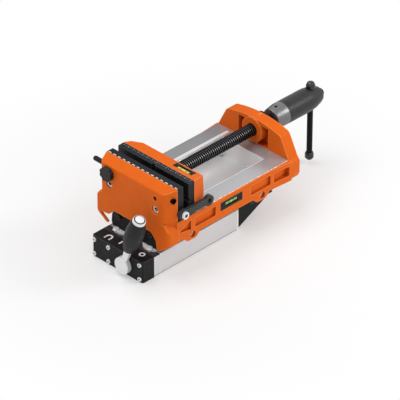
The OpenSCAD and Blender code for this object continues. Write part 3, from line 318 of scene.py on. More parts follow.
def grain(material, shader, scale, height, strength, stretch=(1, 1, 1), edge=0.5 * MM):
    """Fine relief of the surface, and edges that catch the light"""
    bump = add(material, "ShaderNodeBump", {"Strength": strength, "Distance": height})
    soft = add(material, "ShaderNodeBevel", {"Radius": edge}, samples=6)
    wire(material, noise(material, scale, detail=2, stretch=stretch), bump.inputs["Height"])
    wire(material, soft.outputs["Normal"], bump.inputs["Normal"])
    wire(material, bump.outputs["Normal"], shader.inputs["Normal"])


def set_shader(shader, **values):
    for key, value in values.items():
        shader.inputs[key.replace("_", " ")].default_value = value


def lay_over(material, shader, tone, amount):
    """Mixes a tone into the base colour by an amount that varies over the surface"""
    coat = shader.inputs["Base Color"].links[0].from_socket
    both = add(material, "ShaderNodeMix", data_type="RGBA")
    both.inputs[MIX_B].default_value = (*tone, 1)
    wire(material, amount, both.inputs["Factor"])
    wire(material, coat, both.inputs[MIX_A])
    wire(material, both.outputs[MIX_OUT], shader.inputs["Base Color"])


def hollows(material, shader, tone, reach):
    """Painted shade: darkens the colour in recesses and corners, where shade falls"""
    open_sky = add(
        material, "ShaderNodeAmbientOcclusion", {"Distance": reach}, only_local=True, samples=6)
    depth = add(material, "ShaderNodeMapRange", {
        "From Min": 0.3, "From Max": 0.92, "To Min": 1.0, "To Max": 0.0})
    wire(material, open_sky.outputs["AO"], depth.inputs["Value"])
    lay_over(material, shader, tone, depth.outputs["Result"])


def wear(material, shader, tone, reach):
    """Lightens the colour along the outer edges, both where the coat is worn thin and as a painted
    highlight
    """
    edge = add(material, "ShaderNodeAmbientOcclusion", {"Distance": reach}, inside=True, samples=6)
    patchy = add(material, "ShaderNodeMapRange", {
        "From Min": 0.25, "From Max": 0.75, "To Min": 0.55, "To Max": 0.75})
    rubbed_and_lit = add(material, "ShaderNodeMapRange", {"From Max": 0.95, "To Min": 1.0, "To Max": 0.0})
    wire(material, noise(material, scale=90, detail=5), patchy.inputs["Value"])
    wire(material, edge.outputs["AO"], rubbed_and_lit.inputs["Value"])
    wire(material, patchy.outputs["Result"], rubbed_and_lit.inputs["From Min"])
    lay_over(material, shader, tone, rubbed_and_lit.outputs["Result"])


def powder_coat(name, tone, hollow_shade, rubbed_and_lit, sheen=0.12):
    material, shader = finish(name)
    mottle(material, shader, tone, spread=0.04, scale=45)
    # Painted shade in recesses and corners
    hollows(material, shader, hollow_shade, reach=11 * MM)
    # Outer edges lightened, both worn and as a painted highlight
    wear(material, shader, rubbed_and_lit, reach=1.6 * MM)
    gloss(material, shader, low=0.46, high=0.58, scale=120)
    grain(material, shader, scale=1500, height=0.05 * MM, strength=0.25, edge=1.5 * MM)
    set_shader(shader, Specular_IOR_Level=sheen)
    return material


def rubbed_edge(name, tone, lift, gain=1.08):
    """Finish for bevelled edges, lighter both for being worn and as a painted highlight"""
    material, shader = finish(name)
    mottle(material, shader, [min(1, c * gain + lift) for c in tone], spread=0.12, scale=260)
    gloss(material, shader, low=0.36, high=0.50, scale=300)
    grain(material, shader, scale=900, height=0.05 * MM, strength=0.2, edge=1.5 * MM)
    set_shader(shader, Specular_IOR_Level=0.3)
    return material


def ground_metal(name, tone, low, high, along, spread=0.04, metal=1.0):
    """Ground metal with fine lines along one axis"""
    material, shader = finish(name)
    stretch = [LINE_STRETCH if axis == along else 1.0 for axis in "XYZ"]
    mottle(material, shader, tone, spread, scale=700, stretch=stretch)
    gloss(material, shader, low, high, scale=500, stretch=stretch)
    grain(material, shader, scale=1400, height=0.01 * MM, strength=0.02, stretch=stretch)
    set_shader(shader, Metallic=metal)
    return material


def ground_ways(name, tone, wall, top):
    """The ways at the top are ground to a sheen; what lies between them is milled pale, and that
    paleness is partly painted light on the walls and slot floor, which lie in shade
    """
    material = ground_metal(name, tone, 0.24, 0.265, "Y", spread=0.03)
    shader = material.node_tree.nodes["Principled BSDF"]
    ground = shader.inputs["Base Color"].links[0].from_socket
    surface = add(material, "ShaderNodeNewGeometry")
    parts = add(material, "ShaderNodeSeparateXYZ")
    place = add(material, "ShaderNodeTexCoord")
    height = add(material, "ShaderNodeSeparateXYZ")
    up = add(material, "ShaderNodeMapRange", {"From Min": 0.4, "From Max": 0.9})
    # Low faces that look up, the slot floor, take part of the pale colour as painted light
    high = add(material, "ShaderNodeMapRange", {
        "From Min": top - 8 * MM, "From Max": top - 2 * MM, "To Min": 0.4})
    level = add(material, "ShaderNodeMath", operation="MULTIPLY")
    metal = add(material, "ShaderNodeMapRange", {"To Min": 0.15, "To Max": 0.42})
    both = add(material, "ShaderNodeMix", data_type="RGBA")
    both.inputs[MIX_A].default_value = (*wall, 1)
    wire(material, surface.outputs["True Normal"], parts.inputs["Vector"])
    wire(material, parts.outputs["Z"], up.inputs["Value"])
    wire(material, place.outputs["Object"], height.inputs["Vector"])
    wire(material, height.outputs["Z"], high.inputs["Value"])
    wire(material, up.outputs["Result"], level.inputs[0])
    wire(material, high.outputs["Result"], level.inputs[1])
    wire(material, level.outputs["Value"], metal.inputs["Value"])
    wire(material, level.outputs["Value"], both.inputs["Factor"])
    wire(material, ground, both.inputs[MIX_B])
    wire(material, both.outputs[MIX_OUT], shader.inputs["Base Color"])
    wire(material, metal.outputs["Result"], shader.inputs["Metallic"])
    return material


def plated(name, tone, low, high, metal=1.0):
    material, shader = finish(name)
    mottle(material, shader, tone, spread=0.03, scale=160)
    gloss(material, shader, low, high, scale=240)
    grain(material, shader, scale=2200, height=0.01 * MM, strength=0.1)
    set_shader(shader, Metallic=metal)
    return material


def blackened(name, tone, low=0.38, high=0.54, sheen=0.35):
    material, shader = finish(name)
    mottle(material, shader, tone, spread=0.18, scale=220)
    gloss(material, shader, low, high, scale=180)
    grain(material, shader, scale=1800, height=0.03 * MM, strength=0.2, edge=0.3 * MM)
    set_shader(shader, Specular_IOR_Level=sheen)
    return material


def moulded(name, tone, low=0.42, high=0.56, sheen=0.4):
    material, shader = finish(name)
    mottle(material, shader, tone, spread=0.08, scale=90)
    gloss(material, shader, low, high, scale=140)
    grain(material, shader, scale=2600, height=0.06 * MM, strength=0.3)
    set_shader(shader, Specular_IOR_Level=sheen)
    return material


def fluid(name, tone):
    material, shader = finish(name)
    mottle(material, shader, tone, spread=0.10, scale=120)
    gloss(material, shader, low=0.06, high=0.12, scale=60)
    set_shader(shader, Coat_Weight=1.0, Coat_Roughness=0.03)
    return material


def print_ink(name, tone):
    material, shader = finish(name)
    mottle(material, shader, tone, spread=0.05, scale=700)
    gloss(material, shader, low=0.5, high=0.65, scale=400)
    set_shader(shader, Specular_IOR_Level=0.2)
    return material


def make_finishes(colours):
    """Every finish by its key; two plain numbers after a colour are the least and most roughness"""
    finishes.update({
        "paint": powder_coat(
            "orange_powder_coat", colours.paint, colours.hollow_paint, colours.rubbed_paint),
        # Edge finishes are lighter, both worn and as a painted highlight
        "paint_edge": rubbed_edge("orange_rubbed_edge", colours.paint, lift=0.06),
        "black": powder_coat(
            "black_powder_coat", colours.black, colours.hollow_black, colours.rubbed_black,
            sheen=0.16),
        # Worn edge of the black paint, also a painted highlight
        "black_edge": rubbed_edge("black_rubbed_edge", colours.black, lift=0.02),
        "oxide": blackened("blackened_steel", colours.oxide, sheen=0.2),
        "arm": blackened("arm_steel", colours.arm, sheen=0.3),
        # Worn edge of the blackened steel, also a painted highlight
        "oxide_edge": rubbed_edge("blackened_edge", colours.oxide, lift=0.05),
        "spindle": blackened("spindle_black", colours.spindle, 0.42, 0.52, sheen=0.1),
        "crest": plated("worn_crest", colours.crest, 0.24, 0.34),
        "bar": blackened("cross_bar_black", colours.bar, 0.20, 0.30, sheen=0.12),
        "knob": blackened("bar_end_black", colours.bar, 0.12, 0.16, sheen=0.6),
        "grip": moulded("lever_grip_plastic", colours.grip, sheen=0.25),
        "handle": moulded("handle_plastic", colours.handle, 0.34, 0.42, sheen=0.22),
        "sleeve": ground_metal(
            "sleeve_steel", colours.sleeve, 0.32, 0.36, "X", spread=0.05, metal=0.7),
        # Ground tops; walls and slot floor partly pale as painted light
        "steel": ground_ways("ground_ways", colours.steel, colours.wall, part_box("bed")[1].z),
        # Painted highlight strips along the slot's edges
        "margin": ground_metal(
            "polished_margin", colours.wall, 0.40, 0.46, "Y", spread=0.03, metal=0.2),
        "silver": ground_metal(
            "satin_housing", colours.silver, 0.44, 0.54, "Y", spread=0.02, metal=0.3),
        "bright": plated("bright_plating", colours.bright, 0.22, 0.34),
        "satin": plated("satin_plating", colours.satin, 0.40, 0.52, metal=0.35),
        "pale": plated("pale_plating", colours.pale, 0.36, 0.46, metal=0.1),
        "dull": plated("dull_steel", colours.dull, 0.34, 0.48),
        # Painted shade: the walls of screw sockets and the lever cap's groove are painted dark
        "socket": blackened("socket_shade", colours.spindle, 0.5, 0.6, sheen=0.2),
        "white": print_ink("white_print", colours.print_white),
        "grey": print_ink("grey_print", colours.print_grey),
        "green": fluid("green_level_fluid", colours.green_fluid),
        "yellow": fluid("yellow_level_fluid", colours.yellow_fluid),
        "bubble": fluid("level_bubble", colours.bubble),
        "brass": plated("brass_strip", colours.brass, 0.25, 0.4),
        "bronze": plated("bronze_bearing", colours.bronze, 0.28, 0.42),
    })


# Shapes

def lathe(shape, profile, seat, axis, sides=48, look=0):
    """Turns a profile of (radius, height) points about an axis that starts at seat"""
    turn = axis.to_track_quat("Z", "Y")
    rings = []
    for radius, height in profile:
        count = sides if radius > 0 else 1
        around = [FULL_TURN * step / count for step in range(count)]
        spots = [Vector((radius * math.cos(a), radius * math.sin(a), height)) for a in around]
        rings.append([shape.verts.new(seat + turn @ spot) for spot in spots])
    for low, high in zip(rings, rings[1:]):
        for i in range(sides):
            near, far = ([ring[k % len(ring)] for k in (i, i + 1)] for ring in (low, high))
            corners = (*near, *reversed(far))
            face = shape.faces.new(dict.fromkeys(corners))
            face.material_index = look
            face.smooth = True


def band(shape, path, width, rise, closed=False):
    """A flat printed line of even width along a path on a level surface"""
    rings = []
    for i, point in enumerate(path):
        before = path[i - 1] if i or closed else point
        after = path[(i + 1) % len(path)] if i + 1 < len(path) or closed else point
        left = Z.cross(after - before).normalized() * width / 2
        rings.append([
            shape.verts.new(point + side * left + up * rise * Z)
            for side, up in ((1, 0), (-1, 0), (-1, 1), (1, 1))])
    pairs = list(zip(rings, rings[1:]))
    if closed:
        pairs.append((rings[-1], rings[0]))
    else:
        shape.faces.new(rings[0])
        shape.faces.new(rings[-1])
    for near, far in pairs:
        for i in range(4):
            shape.faces.new((near[i - 1], near[i], far[i], far[i - 1]))


def arc(centre, radius, start, end, steps):
    """Points of a level arc about centre, angles in turns from +X towards +Y"""
    turns = [FULL_TURN * (start + (end - start) * i / steps) for i in range(steps + 1)]
    return [centre + radius * (math.cos(t) * X + math.sin(t) * Y) for t in turns]


def numeral(shape, text, height, place, rise):
    """A number printed flat on a surface that faces up"""
    letters = bpy.data.curves.new("numeral", "FONT")
    letters.body = text
    letters.size = height / DIGIT_SHARE
    letters.align_x = "CENTER"
    letters.align_y = "CENTER"
    letters.extrude = rise
    letters.resolution_u = 4
    stamp = bpy.data.objects.new("numeral", letters)
    mesh = stamp.to_mesh()
    mesh.transform(Matrix.Translation(place))
    shape.from_mesh(mesh)
    stamp.to_mesh_clear()
    bpy.data.objects.remove(stamp)
    bpy.data.curves.remove(letters)


def thread(shape, seat, span, radius, depth, lead, sides=32):
    """A right-handed trapezoid thread along Y from seat, closed at each end, its crest in look 1"""
    crest, flank = 0.34, 0.16
    root = radius - depth
    ribs = ((0, radius), (crest, radius), (crest + flank, root), (2 * crest + flank, root))
    rows = []
    for step in range((int(span / lead) - 1) * sides + 1):
        turn = -FULL_TURN * step / sides
        rows.append([
            shape.verts.new(seat + Vector((
                r * math.cos(turn), lead * (step / sides + along), r * math.sin(turn))))
            for along, r in ribs])
    for near, far in zip(rows, rows[1:]):
        for j in range(len(ribs) - 1):
            shape.faces.new((near[j], near[j + 1], far[j + 1], far[j]))
    for near, far, above, beyond in zip(rows, rows[1:], rows[sides:], rows[sides + 1:]):
        shape.faces.new((near[-1], above[0], beyond[0], far[-1]))
    for rim in (
            [row[0] for row in rows[:sides + 1]] + rows[0][:0:-1],
            [row[-1] for row in rows[-sides - 1:]] + rows[-1][-2::-1]):
        middle = sum((vert.co for vert in rim), Vector()) / len(rim)
        hub = shape.verts.new((seat.x, middle.y, seat.z))
        for i, vert in enumerate(rim):
            shape.faces.new((rim[i - 1], vert, hub))
    for face in shape.faces:
        face.smooth = True
        outer = all((vert.co - seat).cross(Y).length > radius - SEAM for vert in face.verts)
        face.material_index = int(outer)


# Pieces

def middle(node):
    low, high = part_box(node)
    return (low + high) / 2


def reach(node, seat, axis):
    """Nearest and farthest distance of a node along an axis from seat"""
    heights = [(vert.co - seat).dot(axis) for vert in nodes[node].data.vertices]
    return min(heights), max(heights)


def solids(node):
    """Corners of the box round each separate solid of a node"""
    shape = bmesh.new()
    shape.from_mesh(nodes[node].data)
    bmesh.ops.remove_doubles(shape, verts=shape.verts, dist=SEAM)
    left = set(shape.verts)
    boxes = []
    while left:
        queue = [left.pop()]
        found = []
        while queue:
            vert = queue.pop()
            found.append(vert.co.copy())
            linked = {edge.other_vert(vert) for edge in vert.link_edges} & left
            left -= linked
            queue.extend(linked)
        boxes.append((
            Vector(min(co[i] for co in found) for i in range(3)),
            Vector(max(co[i] for co in found) for i in range(3))))
    shape.free()
    return sorted(boxes, key=lambda box: tuple(box[0]))


def piece(name, shape, looks, body, sharp=35):
    """Makes a mesh object of a shape, which rides on a body"""
    bmesh.ops.recalc_face_normals(shape, faces=shape.faces)
    mesh = bpy.data.meshes.new(name)
    shape.to_mesh(mesh)
    shape.free()
    for look in looks:
        mesh.materials.append(finishes[look])
    mesh.set_sharp_from_angle(angle=math.radians(sharp))
    made = bpy.data.objects.new(name, mesh)
    bpy.context.scene.collection.objects.link(made)
    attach(made, body)
    return made


def dress(node, face, edge=None, width=0.4 * MM, cutter=None):
    """Gives a CAD node its finish, sockets and rounded edges, with its mesh left as it is"""
    target = nodes[node]
    target.data.materials.clear()
    # The third slot paints the cut walls of the sockets dark, as painted shade
    for look in (face, edge or face, "socket"):
        target.data.materials.append(finishes[look])
    weld = target.modifiers.new("seams", "WELD")
    weld.merge_threshold = SEAM
    flat = target.modifiers.new("flats", "DECIMATE")
    flat.decimate_type = "DISSOLVE"
    flat.angle_limit = FLAT_ANGLE
    if cutter:
        cut = target.modifiers.new("sockets", "BOOLEAN")
        cut.operation = "DIFFERENCE"
        cut.solver = "EXACT"
        cut.material_mode = "INDEX"
        cut.object = cutter
    bevel = target.modifiers.new("edges", "BEVEL")
    bevel.width = width
    bevel.segments = 2
    bevel.limit_method = "ANGLE"
    bevel.angle_limit = CREASE_ANGLE
    # Bevel faces take the edge finish, lighter both worn and as a painted highlight
    bevel.material = 1
    shade = target.modifiers.new("shading", "WEIGHTED_NORMAL")
    shade.weight = 60


def dress_screws(node, outward, face, sizes, edge=None):
    """Finishes the screws of a node and cuts a hexagon socket into each head"""
    shape = bmesh.new()
    for low, high in solids(node):
        centre, half = (low + high) / 2, (high - low) / 2
        way = outward * math.copysign(1, centre.dot(outward)) if outward == X else outward
        along = abs(half.dot(way))
        head_r = max(half - along * Vector(abs(c) for c in way))
        across_r = sizes.socket_across * head_r / math.cos(math.pi / 6)
        depth = 2 * sizes.socket_depth * across_r
        lathe(shape, [(0, -depth), (across_r, -depth), (across_r, depth), (0, depth)],
              centre + along * way, way, HEXAGON, SOCKET_LOOK)
    looks = [face, edge or face, "socket"]
    cutter = piece(node + "_sockets", shape, looks, nodes[node]["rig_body"])
    cutter.hide_render = True
    dress(node, face, edge, sizes.fine_edge, cutter)


class ViseOperator:
    """What the operators of the pieces share"""
    bl_options = {"REGISTER", "UNDO"}

    def execute(self, context):
        self.build(context.scene.vise_sizes)
        return {"FINISHED"}


class VISE_OT_castings(ViseOperator, bpy.types.Operator):
    """Paint the frame and the moving jaw"""
    bl_idname = "vise.castings"
    bl_label = "Castings"

    def build(self, sizes):
        for node in ("vise_frame", "moving_jaw"):
            dress(node, "paint", "paint_edge", sizes.cast_edge)
        dress_screws("frame_bolts", X, "satin", sizes)


class VISE_OT_ways(ViseOperator, bpy.types.Operator):
    """Grind the ways and the keeper that runs under them"""
    bl_idname = "vise.ways"
    bl_label = "Ways"

    def build(self, sizes):
        dress("bed", "steel", "bright", sizes.fine_edge)
        dress("jaw_keeper", "dull", width=sizes.fine_edge)
        dress_screws("keeper_screws", -Z, "dull", sizes)
        self.margins(sizes)

    def margins(self, sizes):
        """Pale strips along the slot's edge as a painted highlight, wider on the left way"""
        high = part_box("bed")[1]
        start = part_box("fixed_jaw_plate")[1].y + sizes.margin
        shape = bmesh.new()
        strips = ((-1, sizes.margin, sizes.margin), (1, sizes.fine_margin, sizes.slot_end))
        for side, width, gap in strips:
            x = side * (sizes.slot_w + width) / 2
            ends = [Vector((x, y, high.z)) for y in (start, high.y - gap)]
            band(shape, ends, width, sizes.print_t)
        piece("way_margins", shape, ["margin"], "frame")


class VISE_OT_magnet(ViseOperator, bpy.types.Operator):
    """Finish the magnet block, its poles and the rotor inside"""
    bl_idname = "vise.magnet"
    bl_label = "Magnet"

    def build(self, sizes):
        looks = {"magnet_housing": "silver", "tail_plate": "pale", "pole_shoes": "dull",
                 "pole_spacer": "brass", "magnet_rotor": "dull", "rotor_bushes": "bronze"}
        for node, face in looks.items():
            dress(node, face, width=sizes.fine_edge)
        dress_screws("tail_screws", Y, "satin", sizes)


class VISE_OT_cover(ViseOperator, bpy.types.Operator):
    """Paint the front cover and print the switch signs on it"""
    bl_idname = "vise.cover"
    bl_label = "Front cover"

    def build(self, sizes):
        dress("front_cover", "black", "black_edge", sizes.cast_edge)
        dress_screws("cover_screws", -Y, "satin", sizes)
        low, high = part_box("front_cover")
        lever = middle("rotor_bushes")
        row = Vector((lever.x, (low.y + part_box("base_clamps")[0].y) / 2, high.z))
        shape = bmesh.new()
        self.on_sign(shape, row - sizes.on_left * X + sizes.on_back * Y, sizes)
        self.off_sign(shape, row + sizes.off_right * X + sizes.off_back * Y, sizes)
        self.magnet_sign(shape, row - sizes.magnet_left * X - sizes.magnet_front * Y, sizes)
        piece("switch_signs", shape, ["white"], "frame")

    def on_sign(self, shape, centre, sizes):
        ends = [centre + end * sizes.on_bar / 2 * Y for end in (-1, 1)]
        band(shape, ends, sizes.sign_w, sizes.print_t)

    def off_sign(self, shape, centre, sizes):
        ring = arc(centre, sizes.off_ring, 0, 1, steps=32)[:-1]
        band(shape, ring, sizes.sign_w, sizes.print_t, closed=True)

    def magnet_sign(self, shape, centre, sizes):
        half = sizes.magnet_w / 2
        bow = arc(centre, half, 0, 0.5, steps=16)
        legs = [end - sizes.magnet_leg * Y for end in (bow[0], bow[-1])]
        band(shape, [legs[0], *bow, legs[1]], sizes.sign_w, sizes.print_t)
        for leg in legs:
            pole = [leg - (sizes.pole_gap + end) * sizes.magnet_pole * Y for end in (0, 1)]
            band(shape, pole, sizes.sign_w, sizes.print_t)


class VISE_OT_lever(ViseOperator, bpy.types.Operator):
    """Finish the switch lever and turn its end cap"""
    bl_idname = "vise.lever"
    bl_label = "Lever"

    def build(self, sizes):
        for node in ("lever_hub", "lever_arm"):
            dress(node, "satin", width=sizes.fine_edge)
        dress("lever_grip", "grip", width=sizes.cast_edge)
        self.cap(sizes)

    def cap(self, sizes):
        """A bright ring, a groove painted dark as shade, and a disc"""
        axis = Vector((math.sin(sizes.lever_lean), 0, math.cos(sizes.lever_lean)))
        hub, grip = middle("rotor_bushes"), middle("lever_grip")
        root = Vector((hub.x, grip.y, hub.z))
        start, end = reach("lever_cap", root, axis)
        low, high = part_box("lever_cap")
        tall, full, edge = end - start, (high.y - low.y) / 2, sizes.fine_edge
        ring, groove, disc = (full * sizes.cap_ring, full * sizes.cap_groove, full * sizes.cap_disc)
        wall, floor, slope, lip, crown = (tall * part for part in (0.4, 0.45, 0.55, 0.75, 0.8))
        seat = root + start * axis
        shape = bmesh.new()
        lathe(shape, [(0, 0), (ring, 0), (ring, wall), (ring - edge, slope),
                      (groove + edge, crown), (groove, lip)], seat, axis)
        lathe(shape, [(groove, lip), (groove, floor), (disc, floor), (disc, lip)],
              seat, axis, look=1)
        lathe(shape, [(disc, lip), (disc, tall - 1.5 * edge), (disc - edge, tall - edge / 2),
                      (disc / 2, tall - edge / 8), (0, tall)], seat, axis)
        bmesh.ops.remove_doubles(shape, verts=shape.verts, dist=SEAM)
        made = piece("lever_end_cap", shape, ["satin", "socket"], "lever")
        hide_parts("lever_cap")


class VISE_OT_saddle(ViseOperator, bpy.types.Operator):
    """Finish the saddle between magnet and vise, its clamps and the tail bracket"""
    bl_idname = "vise.saddle"
    bl_label = "Saddle"

    def build(self, sizes):
        for node in ("adapter", "tail_bracket"):
            dress(node, "black", "black_edge", sizes.fine_edge)
        dress("bracket_studs", "oxide", "oxide_edge", sizes.fine_edge)
        dress("base_clamps", "pale", width=sizes.fine_edge)
        dress_screws("adapter_screws", -Y, "oxide", sizes, "oxide_edge")
        dress("clamp_screws", "pale", width=sizes.fine_edge)


class VISE_OT_jaw_plates(ViseOperator, bpy.types.Operator):
    """Blacken the jaw plates and fill their scales"""
    bl_idname = "vise.jaw_plates"
    bl_label = "Jaw plates"

    def build(self, sizes):
        for node in ("fixed_jaw_plate", "moving_jaw_plate"):
            dress(node, "oxide", "oxide_edge", sizes.fine_edge)
        dress_screws("fixed_plate_bolts", -Y, "satin", sizes)
        dress_screws("moving_plate_bolts", Y, "bright", sizes)
        self.dashes(sizes)
        self.numbers(sizes)

    def stations(self, sizes):
        return [(i, i * sizes.scale_step) for i in range(-sizes.scale_marks, sizes.scale_marks + 1)]

    def dashes(self, sizes):
        low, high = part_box("fixed_jaw_plate")
        shape = bmesh.new()
        for _, x in self.stations(sizes):
            centre = Vector((x, low.y + sizes.dash_inset, high.z))
            ends = [centre + end * sizes.dash / 2 * X for end in (-1, 1)]
            band(shape, ends, sizes.dash_w, sizes.print_t)
        piece("fixed_jaw_scale", shape, ["white"], "frame")

    def numbers(self, sizes):
        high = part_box("moving_jaw_plate")[1]
        row = high.y - sizes.numeral
        shape = bmesh.new()
        for i, x in self.stations(sizes):
            numeral(shape, str(abs(i)), sizes.numeral, Vector((x, row, high.z)), sizes.print_t)
            if i < sizes.scale_marks:
                tick = Vector((x + sizes.scale_step / 2, row, high.z))
                ends = [tick + end * sizes.tick / 2 * Y for end in (-1, 1)]
                band(shape, ends, sizes.tick_w, sizes.print_t)
        piece("moving_jaw_scale", shape, ["grey"], "moving_jaw")


class VISE_OT_spindle(ViseOperator, bpy.types.Operator):
    """Cut the spindle's thread and finish its nut and retainer"""
    bl_idname = "vise.spindle"
    bl_label = "Spindle"

    def build(self, sizes):
        for node in ("spindle_nut", "spindle_retainer"):
            dress(node, "spindle", "oxide_edge", sizes.fine_edge)
        for node in ("nut_screws", "retainer_screws"):
            dress_screws(node, Y, "spindle", sizes, "oxide_edge")
        self.screw(sizes)

    def screw(self, sizes):
        low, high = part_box("spindle")
        centre = (low + high) / 2
        front = Vector((centre.x, low.y, centre.z))
        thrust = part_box("spindle_retainer")[0].y + sizes.collar_gap - low.y
        collar_end = thrust + sizes.collar_t
        thread_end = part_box("grip_collar")[0].y - sizes.tang_gap - low.y
        tang_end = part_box("t_bar")[0].y - sizes.tang_gap - low.y
        nose, collar, tang = sizes.nose_d / 2, high.x, sizes.tang_d / 2
        edge = sizes.fine_edge
        shape = bmesh.new()
        thread(shape, front + (collar_end - edge) * Y, thread_end - collar_end + edge,
               sizes.screw_d / 2, sizes.thread_depth, sizes.lead)
        lathe(shape, [(0, 0), (nose - edge, 0), (nose, edge), (nose, thrust),
                      (collar - edge, thrust), (collar, thrust + edge), (collar, collar_end - edge),
                      (collar - edge, collar_end), (0, collar_end)], front, Y)
        tang_start = thread_end - sizes.lead
        tang_len = tang_end - tang_start
        lathe(shape, [(0, 0), (tang, 0), (tang, tang_len), (0, tang_len)],
              front + tang_start * Y, Y)
        looks = ["spindle", "crest"]
        made = piece("threaded_spindle", shape, looks, "spindle", sharp=28)
        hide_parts("spindle")


class VISE_OT_handle(ViseOperator, bpy.types.Operator):
    """Finish the handle and the sliding cross bar"""
    bl_idname = "vise.handle"
    bl_label = "Handle"

    def build(self, sizes):
        dress("grip_collar", "sleeve", width=sizes.fine_edge)
        dress_screws("collar_screw", Z, "spindle", sizes)
        dress("handle_grip", "handle", width=sizes.cast_edge)
        for node in ("handle_cap", "t_bar"):
            dress(node, "bar", width=sizes.fine_edge)
        for node in ("t_bar_knob", "t_bar_ball"):
            dress(node, "knob", width=sizes.fine_edge)


class VISE_OT_levels(ViseOperator, bpy.types.Operator):
    """Fill the spirit levels"""
    bl_idname = "vise.levels"
    bl_label = "Spirit levels"

    def build(self, sizes):
        for node in ("rail_level_body", "jaw_level_body"):
            dress(node, "black", "black_edge", sizes.fine_edge)
        self.vial("rail_level_vial", "green", Y, X, "frame")
        self.vial("jaw_level_vial", "yellow", X, Z, "moving_jaw")

    def vial(self, node, fluid_look, axis, facing, body):
        """A tube of fluid with a bubble between two rings"""
        low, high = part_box(node)
        tube = (high - low).dot(axis)
        r = (high - low).dot(facing) / 2
        centre = (low + high) / 2
        seat = centre - axis * tube / 2
        end, inner, wall, cap = (r * part for part in (0.8, 0.9, 0.97, 0.2))
        apart = 0.2 * tube
        bubble_r, bubble_rise, bubble_half = 0.42 * r, 0.6 * r, 0.15 * tube
        shape = bmesh.new()
        lathe(shape, [(0, 0), (end, 0), (wall, cap), (wall, tube - cap), (end, tube), (0, tube)],
              seat, axis, look=0)
        for side in (-1, 1):
            ring = centre + axis * (side * apart - cap / 2)
            lathe(shape, [(inner, 0), (r, 0), (r, cap), (inner, cap), (inner, 0)],
                  ring, axis, look=2)
        steps = 10
        turns = [math.pi * i / steps for i in range(steps + 1)]
        bubble = [(bubble_r * math.sin(a), -bubble_half * math.cos(a)) for a in turns]
        bubble[0], bubble[-1] = (0, bubble[0][1]), (0, bubble[-1][1])
        lathe(shape, bubble, centre + bubble_rise * facing, axis, sides=24, look=1)
        looks = [fluid_look, "bubble", "black"]
        made = piece(node.replace("vial", "tube"), shape, looks, body)
        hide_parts(node)


class VISE_OT_stops(ViseOperator, bpy.types.Operator):
    """Finish the work stops"""
    bl_idname = "vise.stops"
    bl_label = "Work stops"

    def build(self, sizes):
        dress("stop_rod", "oxide", "oxide_edge", sizes.fine_edge)
        dress("stop_arm", "arm", "oxide_edge", sizes.fine_edge)
        dress("stop_knob", "grip", "black_edge", sizes.cast_edge)
        dress_screws("stop_arm_bolt", X, "satin", sizes)
        self.liner(sizes)

    def liner(self, sizes):
        """Painted shade in the free bore, which takes the rod on the other side: a thin dark lining
        sheet and a dark ring round its mouth
        """
        low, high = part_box("stop_rod")
        centre, r = (low + high) / 2, (high.z - low.z) / 2
        mouth = Vector((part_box("fixed_jaw_plate")[1].x, centre.y, centre.z))
        wall, rim, back = r + sizes.liner_t, r + sizes.liner_rim, -sizes.liner
        shape = bmesh.new()
        lathe(shape, [(r, back), (wall, back), (wall, 0), (rim, 0), (rim, sizes.liner_t),
                      (r, sizes.liner_t), (r, back)], mouth, X)
        lathe(shape, [(0, back), (r, back)], mouth, X)
        piece("stop_bore_liner", shape, ["spindle"], "frame")


